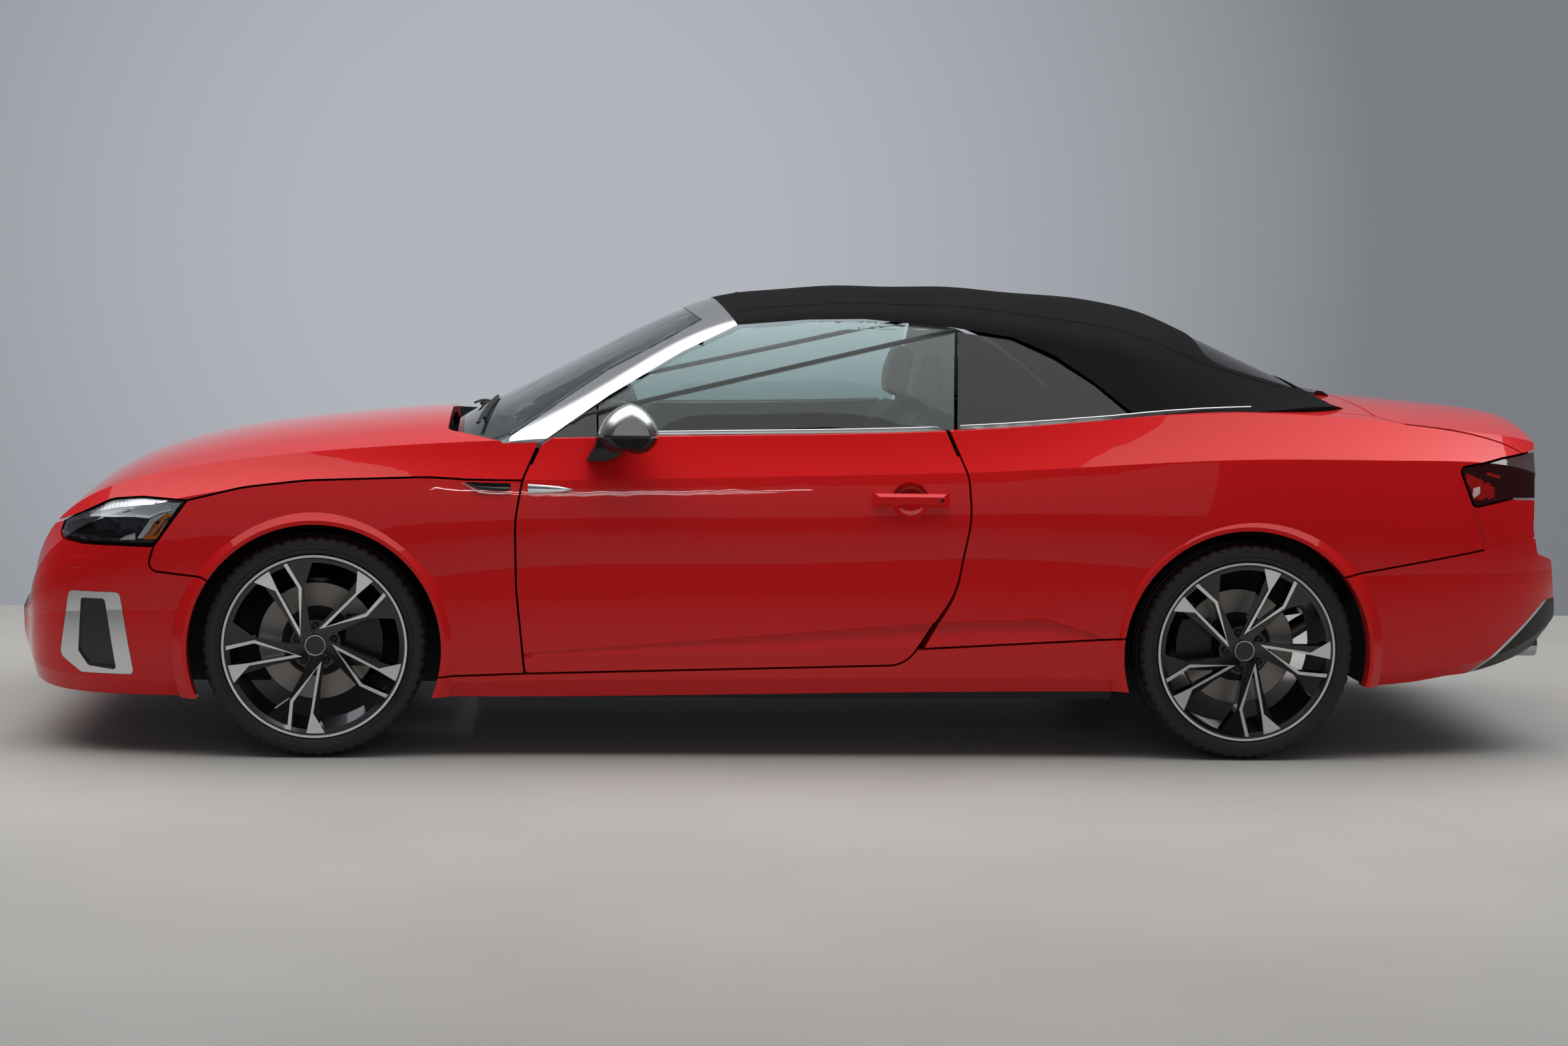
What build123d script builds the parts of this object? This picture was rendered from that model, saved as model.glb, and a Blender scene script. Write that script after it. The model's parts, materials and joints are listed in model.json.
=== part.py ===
from build123d import *

# A four-seat convertible car with its soft top raised, built as an assembly.
#
# Millimetres. +X points forward, +Y to the car's left and +Z up. The origin is
# on the ground, under the centre of the car's bounding box.
#
# The painted panels are cut from one hollow master body, so that neighbours
# share one surface and meet along real shut lines. The windscreen, the side
# windows and the soft top are cut from a second master, the greenhouse.

import os

os.makedirs("parts", exist_ok=True)

# ---------------------------------------------------------------- driving sizes
LENGTH = 4712.0
WHEELBASE = 2765.0
FRONT_OVERHANG = 899.5
FRONT_AXLE_X = LENGTH / 2 - FRONT_OVERHANG
REAR_AXLE_X = FRONT_AXLE_X - WHEELBASE
HALF_SPAN = 1100.0

TYRE_RADIUS = 327.0
TYRE_HALF_WIDTH = 131.0
BEAD_RADIUS = 256.0
BEAD_HALF_WIDTH = 112.0
FLANGE_RADIUS = 270.0
WHEEL_Y = 788.0
WHEEL_Z = TYRE_RADIUS
ARCH_Z = 318.0
ARCH_LIP = {"front": 368.0, "rear": 374.0}
ARCH_FOOT = {"front": (174.0, 180.0), "rear": (206.0, 224.0)}
WHEELHOUSE = {"front": (410.0, 480.0), "rear": (388.0, 630.0)}
FLARE_WIDTH = 44.0
FLARE_Y = 922.0
KINGPIN_Y = 712.0
DISC_Y = 757.0
DISC_RADIUS = 175.0

SHUT_GAP = 6.4
SIDE_WALL = 80.0
TOP_WALL = 28.0
HULL_GAP = 6.0
HULL_FLOOR = 165.0
CABIN_FLOOR = 300.0
SEAT_STEP = 430.0
BOOT_FLOOR = 470.0
RAIL_INSIDE = 440.0
SUBFRAME_TOP = 240.0
HANDLE_X = -286.0
HANDLE_Y = 897.0
HANDLE_Z = 776.0
HINGE_X = 811.0
HINGE_Y = 893.0
HINGE_POCKET = 106.0
DOOR_REBATE = 6.0
DOOR_REBATE_Y = 862.0
NOSE_INSIDE_X = 2225.0
TAIL_INSIDE_X = -2140.0
BOOT_WALL_X = -1100.0

# ------------------------------------------------------------------ body shape
# One row for each cross-section: x, then half widths and heights up the side.
# y0 z0 lower edge, y1 z1 sill crease, y2 z2 widest, y3 z3 shoulder crease,
# y4 z4 top edge, zc height on the centreline.
BODY = [
    (2356, 420, 255, 480, 300, 500, 360, 480, 430, 430, 452, 458),
    (2305, 590, 200, 645, 250, 660, 380, 640, 490, 570, 528, 540),
    (2245, 690, 180, 740, 235, 757, 400, 735, 580, 650, 648, 668),
    (2130, 770, 172, 815, 225, 832, 420, 812, 668, 720, 745, 778),
    (1900, 835, 172, 870, 218, 886, 430, 872, 745, 785, 826, 874),
    (1456, 865, 176, 898, 216, 908, 480, 889, 812, 825, 893, 952),
    (900, 872, 178, 900, 228, 899, 560, 885, 820, 832, 932, 998),
    (100, 874, 190, 904, 240, 903, 580, 888, 838, 832, 955, 1010),
    (-600, 874, 200, 906, 246, 906, 600, 890, 862, 824, 985, 1025),
    (-1308, 870, 205, 903, 240, 911, 560, 888, 903, 775, 1036, 1066),
    (-1800, 835, 225, 870, 262, 880, 560, 852, 903, 720, 1008, 1058),
    (-2080, 765, 262, 812, 300, 828, 560, 795, 893, 665, 978, 1037),
    (-2235, 665, 300, 728, 350, 745, 560, 712, 860, 590, 955, 1022),
    (-2356, 500, 345, 585, 400, 605, 560, 570, 790, 470, 900, 985),
]
# How far each step up the side bulges from a straight line.
SIDE_BULGE = (0.0, 6.0, 12.0, -3.0)

# The crease low on the doors: x, top and bottom heights, half width of the body
# there, depth at the top.
LIGHT_CATCHER = [
    (848, 310, 290, 903, 1),
    (520, 337, 300, 907, 7),
    (-380, 409, 330, 911, 13),
    (-700, 421, 349, 912, 13),
    (-868, 370, 358, 911, 1),
]

# Greenhouse: x, base half width and height, rail half width and height, centre.
GREENHOUSE = [
    (1100, 790, 820, 760, 850, 926),
    (892, 824, 928, 784, 948, 1040),
    (600, 825, 942, 706, 1095, 1192),
    (380, 823, 950, 642, 1222, 1298),
    (200, 821, 955, 604, 1284, 1358),
    (-20, 818, 962, 592, 1306, 1384),
    (-300, 815, 970, 588, 1310, 1393),
    (-600, 811, 980, 592, 1286, 1387),
    (-900, 802, 996, 602, 1235, 1364),
    (-1094, 790, 1012, 612, 1178, 1332),
    (-1260, 770, 1028, 606, 1120, 1264),
    (-1460, 720, 1046, 570, 1080, 1172),
    (-1620, 610, 1050, 450, 1062, 1098),
    (-1712, 480, 1030, 300, 1036, 1042),
]
SKIRT = 150.0
RAIL_ROUND = 46.0
FABRIC = 30.0
PILLAR = 38.0
GLASS_RECESS = 4.0
GLASS = 6.0

# ------------------------- side-view shut lines: x, z and radius of each corner
DOOR_FRONT = [(785, 1150, 0), (806, 932, 60), (857, 818, 150),
              (877, 700, 300), (872, 500, 400), (845, 250, 14)]
DOOR_REAR = [(-280, 282, 95), (-428, 496, 260), (-470, 720, 300),
             (-462, 840, 160), (-406, 978, 60), (-370, 1150, 0)]
SHOULDER = [(857, 818, 0), (1018, 819, 0), (1134, 825, 600), (1483, 812, 900),
            (1665, 790, 500), (1826, 750, 0)]
LAMP_TOP = [(1957, 755, 120), (2050, 745, 120), (2148, 698, 60)]
LAMP = ([(1826, 750, 6)] + LAMP_TOP
        + [(2200, 676, 8), (2212, 628, 18), (2130, 617, 60), (1922, 615, 26)])
NOSE_LINE = [(2200, 676, 0), (2262, 654, 0), (2450, 654, 0)]
BUMPER_FRONT = [(1922, 615, 0), (1942, 545, 26), (1780, 528, 0), (1456, 330, 0)]
SILL_TOP = [(1300, 232, 0), (845, 250, 0), (-331, 331, 0), (-921, 365, 0),
            (-1250, 384, 0)]
BUMPER_REAR = [(-1450, 530, 0), (-2017, 629, 60), (-2450, 700, 0)]
TAIL_LAMP = [(-1962, 882, 16), (-2120, 906, 80), (-2450, 935, 0),
             (-2450, 770, 0), (-2140, 786, 40), (-2008, 762, 20)]
TAIL_PROFILE = [(-2500, 1200, 0), (-2306, 1200, 0), (-2306, 985, 12),
                (-2276, 930, 40), (-2234, 850, 60), (-2226, 690, 40),
                (-2246, 612, 20), (-2312, 590, 20), (-2334, 480, 40),
                (-2357, 420, 30), (-2357, 395, 0), (-2235, 262, 0),
                (-1950, 246, 60), (-1725, 210, 0), (-1725, 0, 0), (-2500, 0, 0)]
# The parts of the tail that the boot lid takes: its deck, and the panel below it.
LID_DECK = [(-1700, 952, 0), (-2100, 924, 0), (-2120, 906, 0), (-2450, 935, 0),
            (-2450, 1300, 0), (-1700, 1300, 0)]
LID_BACK = [(-1700, 694, 0), (-2450, 694, 0), (-2450, 1300, 0), (-1700, 1300, 0)]
BRAKE_LIGHT = [(-1690, 1040, 0), (-1690, 1070, 0), (-1700, 1077, 0), (-1718, 1075, 0),
               (-1738, 1063, 0), (-1738, 1040, 0)]
DIFFUSER = [(-2000, 150, 0), (-2025, 254, 0), (-2285, 466, 20),
            (-2450, 470, 0), (-2450, 150, 0)]
INTAKE = [(2176, 478, 16), (2022, 478, 16), (1982, 236, 12),
          (2140, 236, 14), (2206, 284, 30)]
INTAKE_HOLE = [(2138, 458, 8), (2066, 458, 12), (2034, 248, 8),
               (2118, 258, 12), (2148, 300, 16)]
PILLAR_LOWER = [(800, 928, 0), (600, 1064, 0), (383, 1193, 0), (214, 1274, 0)]
PILLAR_UPPER = [(350, 1314, 0), (313, 1284, 0), (383, 1247, 0), (601, 1130, 0),
                (893, 941, 0)]
HEADER_REAR = [(255, 1343, 0), (262, 1450, 0)]
DOOR_GLASS = [(632, 850, 0), (634, 1033, 0), (386, 1184, 300), (204, 1264, 0),
              (-20, 1286, 0), (-174, 1290, 0), (-447, 1268, 0), (-414, 850, 0)]
SAIL = [(796, 850, 0), (796, 924, 0), (640, 1030, 0), (638, 850, 0)]
QUARTER_GLASS = [(-458, 1262, 0), (-620, 1240, 90), (-745, 1184, 90),
                 (-861, 1110, 0), (-985, 1004, 0), (-985, 850, 0), (-424, 850, 0)]
SOFT_TOP_EDGE = [(-1004, 900, 0), (-1004, 1005, 0), (-861, 1121, 0),
                 (-749, 1198, 90), (-624, 1249, 90), (-446, 1275, 0),
                 (-174, 1297, 0), (0, 1293, 0), (214, 1274, 0)]

# The mirror housing: half width position y, scale, and the middle x and z there.
MIRROR_ROWS = [(884, 0.90, 556, 955), (930, 1.0, 553, 955), (980, 0.93, 549, 955),
               (1010, 0.62, 545, 955)]
# Its outlines about that middle: two ends of the flat side, then over the curve.
MIRROR_CAP = [(-88, 6), (86, 6), (52, 64), (-6, 96), (-64, 62)]
MIRROR_LOWER = [(92, -3), (-88, -3), (-72, -33), (0, -44), (66, -34)]
MIRROR_FOOT = [(642, 950), (646, 925), (669, 881), (637, 877), (603, 880), (570, 898),
               (548, 915), (540, 950)]

# ------------------------------------ plan outlines of one half: x, y, radius
COWL = [(1078, 640, 110), (925, 832, 30), (-100, 836, 0)]
COCKPIT = [(925, 796, 0), (-900, 796, 300), (-1094, 760, 200),
           (-1260, 730, 200), (-1460, 680, 160), (-1600, 570, 120),
           (-1670, 380, 60)]
LAMP_BACK = [(2300, 560, 0), (2205, 640, 0), (2100, 752, 0), (1950, 812, 0), (1700, 838, 0)]
BOOT = [(-1752, 640, 60), (-1790, 722, 60), (-2080, 682, 0), (-2450, 618, 0)]
BOOT_BACK = [(-1752, 540, 0), (-2450, 540, 0)]
REAR_WINDOW = [(-1262, 470, 60), (-1575, 390, 60)]
LID_LAMP_Y = 434.0
BRAKE_LIGHT_HALF = 130.0
DECK_COVER_Y = 640.0
# Front-view outline of the grille opening: y, z, radius.
GRILLE = [(-420, 612, 30), (420, 612, 30), (560, 452, 30), (440, 262, 30),
          (-440, 262, 30), (-560, 452, 30)]


# The honeycomb: a point on its face, its lean in degrees, pitch and size of the
# cells, how deep it is, and the width of the surround.
MESH_X = 2290.0
MESH_Z = 452.0
MESH_LEAN = 12.9
MESH_PITCH = 84.0
MESH_CELL = 43.0
MESH_DEPTH = 12.0
MESH_FRAME = 16.0
BACKING_Y = 796.0
LENS = 7.0
LIGHT_BAR = [(1836, 742, 0), (1957, 744, 0), (2050, 734, 0), (2140, 690, 0),
             (2130, 680, 0), (2046, 706, 0), (1960, 712, 0), (1870, 704, 0)]


# ----------------------------------------------------------------- small tools
def grown(points, margin):
    """Corners of an outline moved outwards by margin, with their radii."""
    area = sum(a[0] * b[1] - b[0] * a[1]
               for a, b in zip(points, points[1:] + points[:1]))
    turn = 1.0 if area > 0 else -1.0
    result = []
    for before, here, after in zip(points[-1:] + points[:-1], points,
                                   points[1:] + points[:1]):
        into = Vector(here[0] - before[0], here[1] - before[1]).normalized()
        away = Vector(after[0] - here[0], after[1] - here[1]).normalized()
        normals = [Vector(d.Y, -d.X) * turn for d in (into, away)]
        shift = (normals[0] + normals[1]) * (margin / (1 + normals[0].dot(normals[1])))
        convex = into.cross(away).Z * turn > 0
        radius = here[2] and max(here[2] + (margin if convex else -margin), 1.0)
        result.append((here[0] + shift.X, here[1] + shift.Y, radius))
    return result


def outline(points, plane, margin=0.0):
    """A face in a plane from corners given as (u, v, radius)."""
    points = grown(points, margin) if margin else points
    corners = [(u, v) for u, v, _ in points]
    radii = [r for _, _, r in points]
    return plane * make_face(FilletPolyline(*corners, radius=radii, close=True))


def across(points, margin=0.0, half=HALF_SPAN):
    """A side-view outline run through the whole width of the car."""
    return extrude(outline(points, Plane.XZ, margin), half, both=True)


def upward(points, margin=0.0, low=-100.0, high=1600.0):
    """A plan outline given for one half, mirrored and run upward."""
    ring = points + [(x, -y, r) for x, y, r in reversed(points)]
    return extrude(outline(ring, Plane.XY.offset(low), margin), high - low)


def box(x0, x1, y0, y1, z0, z1):
    """A block between two corners."""
    middle = Pos((x0 + x1) / 2, (y0 + y1) / 2, (z0 + z1) / 2)
    return middle * Box(abs(x1 - x0), abs(y1 - y0), abs(z1 - z0))


def both_sides(shape):
    """A shape on the left with its mirror image on the right."""
    return Compound(shape.solids() + mirror(shape, Plane.XZ).solids())


def bar_y(radius, x, z, y0, y1):
    """A round bar along Y."""
    return Pos(x, (y0 + y1) / 2, z) * Rot(90, 0, 0) * Cylinder(radius, abs(y1 - y0))


def bar_z(radius, x, y, z0, z1):
    """A round bar along Z."""
    return Pos(x, y, (z0 + z1) / 2) * Cylinder(radius, z1 - z0)


def one_side(shape, sign):
    """The solids of a shape that lie on one side of the centreline."""
    return Compound([s for s in shape.solids() if s.center().Y * sign > 0])


def tidy(shape, least=2000.0):
    """A shape without the crumbs that a cut can leave."""
    return Compound([s for s in shape.solids() if s.volume > least])


def bulged(a, b, bulge):
    """A line from a to b in a cross-section, or an arc that bulges outwards."""
    if not bulge:
        return Edge.make_line(a, b)
    step = b - a
    out = Vector(0, -step.Z, step.Y).normalized()
    return Edge.make_three_point_arc(a, (a + b) * 0.5 + out * bulge, b)


def body_loft(inset=0.0, drop=0.0, floor=None, ends=None):
    """The master body, or a smaller copy that lies inside it."""
    rows = [list(row) for row in BODY]
    if ends:
        rows = rows[2:-2]
        rows[0][0], rows[-1][0] = ends
    wires = []
    for x, y0, z0, y1, z1, y2, z2, y3, z3, y4, z4, zc in rows:
        low = z0 if floor is None else floor
        side = [(y0, low), (y1, max(z1, low + 4)), (y2, z2), (y3, z3 - drop / 2),
                (y4, z4 - drop)]
        right = [Vector(x, inset - y, z) for y, z in side]
        left = [Vector(x, y - inset, z) for y, z in reversed(side)]
        edges = [Edge.make_line(left[-1], right[0])]
        edges += [bulged(a, b, k) for a, b, k in zip(right, right[1:], SIDE_BULGE)]
        edges += [Edge.make_three_point_arc(right[-1], Vector(x, 0, zc - drop), left[0])]
        edges += [bulged(a, b, k) for a, b, k in zip(left, left[1:], SIDE_BULGE[::-1])]
        wires.append(Wire(edges))
    return Solid.make_loft(wires)


def greenhouse_side(row, inset):
    """Corner points up one side of a greenhouse section, and its top centre."""
    x, yb, zb, yr, zr, zc = row
    base = Vector(x, yb - inset, zb - inset)
    foot = Vector(x, yb - inset, zb - SKIRT)
    rail = Vector(x, yr - inset * 0.9, zr - inset * 0.55)
    reach = min(RAIL_ROUND, 0.4 * (base - rail).length)
    low = rail + (base - rail).normalized() * reach
    high = rail + Vector(0, -1.0, 2.0 * (zc - zr) / yr).normalized() * RAIL_ROUND
    mid = low * 0.25 + high * 0.25 + rail * 0.5
    return [foot, base, low, mid, high], Vector(x, 0, zc - inset)


def greenhouse_path(row, inset):
    """A greenhouse section as edges from its left foot over to its right foot."""
    left, top = greenhouse_side(row, inset)
    right = [Vector(p.X, -p.Y, p.Z) for p in left]
    return [
        Edge.make_line(left[0], left[1]),
        Edge.make_line(left[1], left[2]),
        Edge.make_three_point_arc(*left[2:]),
        Edge.make_three_point_arc(left[4], top, right[4]),
        Edge.make_three_point_arc(*right[:1:-1]),
        Edge.make_line(right[2], right[1]),
        Edge.make_line(right[1], right[0]),
    ], left[0], right[0]


def greenhouse_loft(outer, inner, front, back):
    """A shell between two depths below the greenhouse's surface, from x to x.

    With no inner depth the greenhouse is solid.
    """
    wires = []
    for row in GREENHOUSE:
        if back <= row[0] <= front:
            edges, left, right = greenhouse_path(row, outer)
            if inner is None:
                edges.append(Edge.make_line(right, left))
            else:
                lining, left_in, right_in = greenhouse_path(row, inner)
                edges += [Edge.make_line(right, right_in)] + lining[::-1]
                edges.append(Edge.make_line(left_in, left))
            wires.append(Wire(edges))
    return Solid.make_loft(wires)


def save(name, shape):
    """Write one node of the assembly."""
    solids = shape.solids()
    export_step(solids[0] if len(solids) == 1 else Compound(solids),
                f"parts/{name}.step")


# ------------------------------------------------------------------ body panels
def arch_ring(x, radius, ahead, behind):
    """The raised lip round a pair of wheel arches, cut off at the sills."""
    profile = Plane.XY * make_face(Polyline(
        (radius - 6, 850), (radius - 6, FLARE_Y), (radius + 12, FLARE_Y),
        (radius + FLARE_WIDTH, FLARE_Y - 26), (radius + FLARE_WIDTH, 850), close=True))
    ring = Pos(x, 0, ARCH_Z) * revolve(profile, Axis.Y)
    ring -= box(x, x + 600, 0, 1000, -400, ahead)
    ring -= box(x - 600, x, 0, 1000, -400, behind)
    return both_sides(ring)


def handle_hollow():
    """The hollow in the left door behind its handle."""
    return Pos(HANDLE_X, HANDLE_Y + 39, HANDLE_Z) * Sphere(65)


def handle():
    """The left door's pull handle, a bevelled bar that stands off at its middle."""
    section = [(884, 756), (914, 753), (928, 763), (928, 784), (916, 793), (884, 791)]
    bar = Plane.YZ.offset(-401) * make_face(Polyline(*section, close=True))
    plan = [(-401, 880), (-401, 905), (-380, 930), (-192, 930), (-171, 905), (-171, 880)]
    ends = Plane.XY.offset(700) * make_face(Polyline(*plan, close=True))
    gap = box(HANDLE_X - 54, HANDLE_X + 54, 860, 912, 700, 800)
    return (extrude(bar, 230) & extrude(ends, 150)) - gap


def light_catcher(side):
    """What the long crease low on the doors takes out of one side."""
    wires = []
    for x, top, low, surface, depth in LIGHT_CATCHER:
        corners = [(surface - depth, top), (surface + 20, top + 4), (surface + 20, low),
                   (surface + 1, low)]
        wires.append(Wire(Polyline(*[(x, side * y, z) for y, z in corners], close=True)))
    return Solid.make_loft(wires, ruled=True)


def boot_room(margin):
    """The part of the tail that the boot lid takes, grown by margin."""
    deck = upward(BOOT, margin) & across(LID_DECK, margin)
    return deck + (upward(BOOT_BACK, margin) & across(LID_BACK, margin))


def hollow_body():
    """The master body less its inside, its wheel arches and its tail."""
    skin = body_loft()
    inside = body_loft(SIDE_WALL, TOP_WALL, -60.0, (NOSE_INSIDE_X, TAIL_INSIDE_X))
    skin = skin - inside
    for x, end in ((FRONT_AXLE_X, "front"), (REAR_AXLE_X, "rear")):
        skin = skin + arch_ring(x, ARCH_LIP[end], *ARCH_FOOT[end])
        skin -= bar_y(ARCH_LIP[end], x, ARCH_Z, -HALF_SPAN, HALF_SPAN)
        skin -= bar_y(WHEELHOUSE[end][0], x, ARCH_Z, -866, 866)
    for side in (1, -1):
        skin -= light_catcher(side)
    return skin - across(TAIL_PROFILE)


def body_panels():
    """Every painted panel and lamp, cut from the hollow master body."""
    half = -SHUT_GAP / 2
    skin = hollow_body()
    door_shape = DOOR_FRONT + DOOR_REAR
    cockpit = upward(COCKPIT)
    lid_hole = boot_room(-half)

    bonnet = DOOR_FRONT[:2] + SHOULDER + LAMP_TOP + NOSE_LINE + [(2450, 1250, 0)]
    save("bonnet", tidy((skin & across(bonnet, half)) - upward(COWL, 3)))

    wing = (DOOR_FRONT[3:5] + [(845, 250, 0), (1300, 232, 0)]
            + BUMPER_FRONT[::-1] + SHOULDER[:0:-1] + [(857, 818, 0)])
    save("front_wings", tidy(skin & across(wing, half)))

    door = (skin & across(door_shape, half)) - cockpit
    rim = across(door_shape, 40, DOOR_REBATE_Y) - across(door_shape, half - DOOR_REBATE)
    frame_clear = across([(800, 928, 0), (600, 1064, 0), (600, 1300, 0),
                          (900, 1300, 0), (900, 840, 0), (868, 840, 0),
                          (868, 905, 0)], SHUT_GAP, 838)
    door = tidy(door - rim - frame_clear) - both_sides(handle_hollow())
    door = door + both_sides(handle())
    save("door_left", one_side(door, 1))
    save("door_right", one_side(door, -1))

    sill = [(1300, 100, 0)] + SILL_TOP + [(-1250, 100, 0)]
    save("side_sills", tidy((skin & across(sill, half)) - across(door_shape, -half)))

    quarter = (SILL_TOP[2:] + [(-1330, 480, 0)] + BUMPER_REAR
               + [(-2450, 1250, 0)] + DOOR_REAR[::-1][:-1])
    quarter = (skin & across(quarter, half)) - cockpit - lid_hole
    cover = box(-1760, -1440, -DECK_COVER_Y - half, DECK_COVER_Y + half, 800, 1300)
    save("deck_cover", tidy(quarter & cover))
    quarter -= box(-1760, -1440, half - DECK_COVER_Y, DECK_COVER_Y - half, 800, 1300)
    save("rear_quarters", tidy(quarter - across(TAIL_LAMP, -half)))

    lid = skin & boot_room(half)
    lamp = across(TAIL_LAMP, half) - box(-2600, -1800, -LID_LAMP_Y, LID_LAMP_Y, 0, 1500)
    slot = across(TAIL_LAMP, half + 0.5)
    slot -= box(-2600, -1800, 0.5 - LID_LAMP_Y, LID_LAMP_Y - 0.5, 0, 1500)
    save("boot_lid_lamps", tidy(lid & lamp))
    save("boot_lid", tidy(lid - slot))
    high_lamp = across(BRAKE_LIGHT, half=BRAKE_LIGHT_HALF) - body_loft()
    lamps = tidy((skin & across(TAIL_LAMP, half)) - lid_hole)
    save("tail_lamps", Compound(lamps.solids() + high_lamp.solids()))

    bumper = BUMPER_REAR + [(-2450, 100, 0), (-1450, 100, 0)]
    bumper = skin & across(bumper, half)
    tip_hole = box(-2500, -2000, 440, 620, 264, 360)
    save("diffuser", tidy((bumper & across(DIFFUSER, -0.5)) - both_sides(tip_hole)))
    save("rear_bumper", tidy(bumper - across(DIFFUSER, 0.5)))

    nose = ([(2450, 100, 0), (2450, 654, 0), (2262, 654, 0), (2200, 676, 0)]
            + [(2060, 700, 0)] + BUMPER_FRONT + [(1456, 100, 0)])
    nose = (skin & across(nose, half)) - across(LAMP, -half)
    save("front_bumper", tidy(nose - grille_prism(0.5) - across(INTAKE, 0.5)))
    save("grille", grille(skin))
    save("intake_trims", tidy(skin & (across(INTAKE, -0.5) - across(INTAKE_HOLE))))
    headlamps(skin, half)


def grille_prism(margin):
    """The grille opening run backwards from the nose."""
    return extrude(outline(GRILLE, Plane.YZ.offset(2100), margin), 400)


def grille(skin):
    """The grille's surround and honeycomb, and the plates behind the side intakes."""
    opening = grille_prism(-0.5)
    lean = Plane((MESH_X, 0, MESH_Z), x_dir=(0, 1, 0), z_dir=Vector(1, 0, 0).rotate(
        Axis.Y, -MESH_LEAN))
    cells = [Pos(MESH_PITCH * (column + 0.5 * (row % 2)), MESH_PITCH * 0.87 * row)
             * RegularPolygon(MESH_CELL, 6, rotation=30)
             for row in range(-3, 4) for column in range(-8, 9)]
    sheet = extrude(lean * (Rectangle(1200, 440) - cells), -MESH_DEPTH)
    surround = (skin & opening) - grille_prism(-MESH_FRAME)
    surround -= extrude(lean.offset(-MESH_DEPTH) * Rectangle(1400, 700), -200)
    backing = across(INTAKE_HOLE, -0.5, BACKING_Y) & skin
    return Compound(tidy(surround + (sheet & opening)).solids() + tidy(backing).solids())


def headlamps(skin, half):
    """Clear lamp covers, and the dark housings and light units behind them."""
    lamp = skin & across(LAMP, half)
    save("headlamps", tidy(lamp - body_loft(LENS, LENS)))
    housing = lamp & (across(LAMP, half - 6) & body_loft(LENS + 2, LENS + 2))
    cavity = across(LAMP, half - 14) - across(LIGHT_BAR) - upward(LAMP_BACK)
    save("headlamp_units", tidy(housing - cavity))


# ------------------------------------------------------------------- greenhouse
def glazing():
    """Windscreen and frame, side windows and the soft top."""
    body = body_loft()
    pane = (GLASS_RECESS, GLASS_RECESS + GLASS)

    foot = [(905, 862, 0), (868, 862, 0), (868, 905, 0)]
    band = PILLAR_LOWER + HEADER_REAR + [(345, 1450, 0)] + PILLAR_UPPER + foot
    frame = greenhouse_loft(0, PILLAR, 1100, -20) & across(band)
    save("windscreen_frame", tidy(frame))
    screen = PILLAR_UPPER[::-1] + [(353, 1450, 0), (1060, 1450, 0), (1060, 905, 0),
                                   (900, 905, 0)]
    screen = greenhouse_loft(*pane, 1100, -20) & across(screen)
    save("windscreen", tidy(screen & upward(COWL, -4)))

    side = (greenhouse_loft(*pane, 892, -900) & across(DOOR_GLASS)) - body
    save("door_glass_left", one_side(side, 1))
    save("door_glass_right", one_side(side, -1))
    quarter = (greenhouse_loft(*pane, -300, -1260) & across(QUARTER_GLASS)) - body
    save("quarter_windows", tidy(quarter))

    roof = HEADER_REAR[::-1] + SOFT_TOP_EDGE[::-1] + [(-1850, 900, 0), (-1850, 1450, 0)]
    roof = greenhouse_loft(0, FABRIC, 380, -1712) & across(roof)
    roof -= across(BRAKE_LIGHT, 3, BRAKE_LIGHT_HALF + 3)
    save("soft_top", tidy(roof - body - upward(REAR_WINDOW)))
    rear = greenhouse_loft(*pane, -900, -1712) & upward(REAR_WINDOW, -0.5)
    save("rear_window", tidy(rear))


def mirror_shell(rows, corners):
    """A mirror housing part, lofted outwards from scaled copies of one outline."""
    wires = []
    for y, size, x_mid, z_mid in rows:
        points = [Vector(x_mid + size * u, y, z_mid + size * v) for u, v in corners]
        wires.append(Wire([Edge.make_line(points[0], points[1]),
                           Edge.make_three_point_arc(*points[1:4]),
                           Edge.make_three_point_arc(points[3], points[4], points[0])]))
    return Solid.make_loft(wires)


def mirrors():
    """Door mirrors: cap, lower housing and foot, and the sail panel beside them."""
    body = body_loft()
    sails = tidy((greenhouse_loft(1, 12, 892, 380) & across(SAIL)) - body)
    cap = mirror_shell(MIRROR_ROWS, MIRROR_CAP)
    lower = mirror_shell(MIRROR_ROWS, MIRROR_LOWER)
    core = box(490, 622, 900, 985, 940, 966)
    foot = Plane.XZ.offset(-965) * make_face(Polyline(*MIRROR_FOOT, close=True))
    foot = extrude(foot, 125) - extrude(Plane.YZ.offset(400) * make_face(Polyline(
        (880, 860), (970, 860), (970, 921), (930, 921), close=True)), 400)
    left = cap + lower + core + (foot - body)
    for name, sign in (("left", 1), ("right", -1)):
        shape = left if sign > 0 else mirror(left, Plane.XZ)
        save(f"mirror_{name}", Compound(one_side(sails, sign).solids() + shape.solids()))


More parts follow.
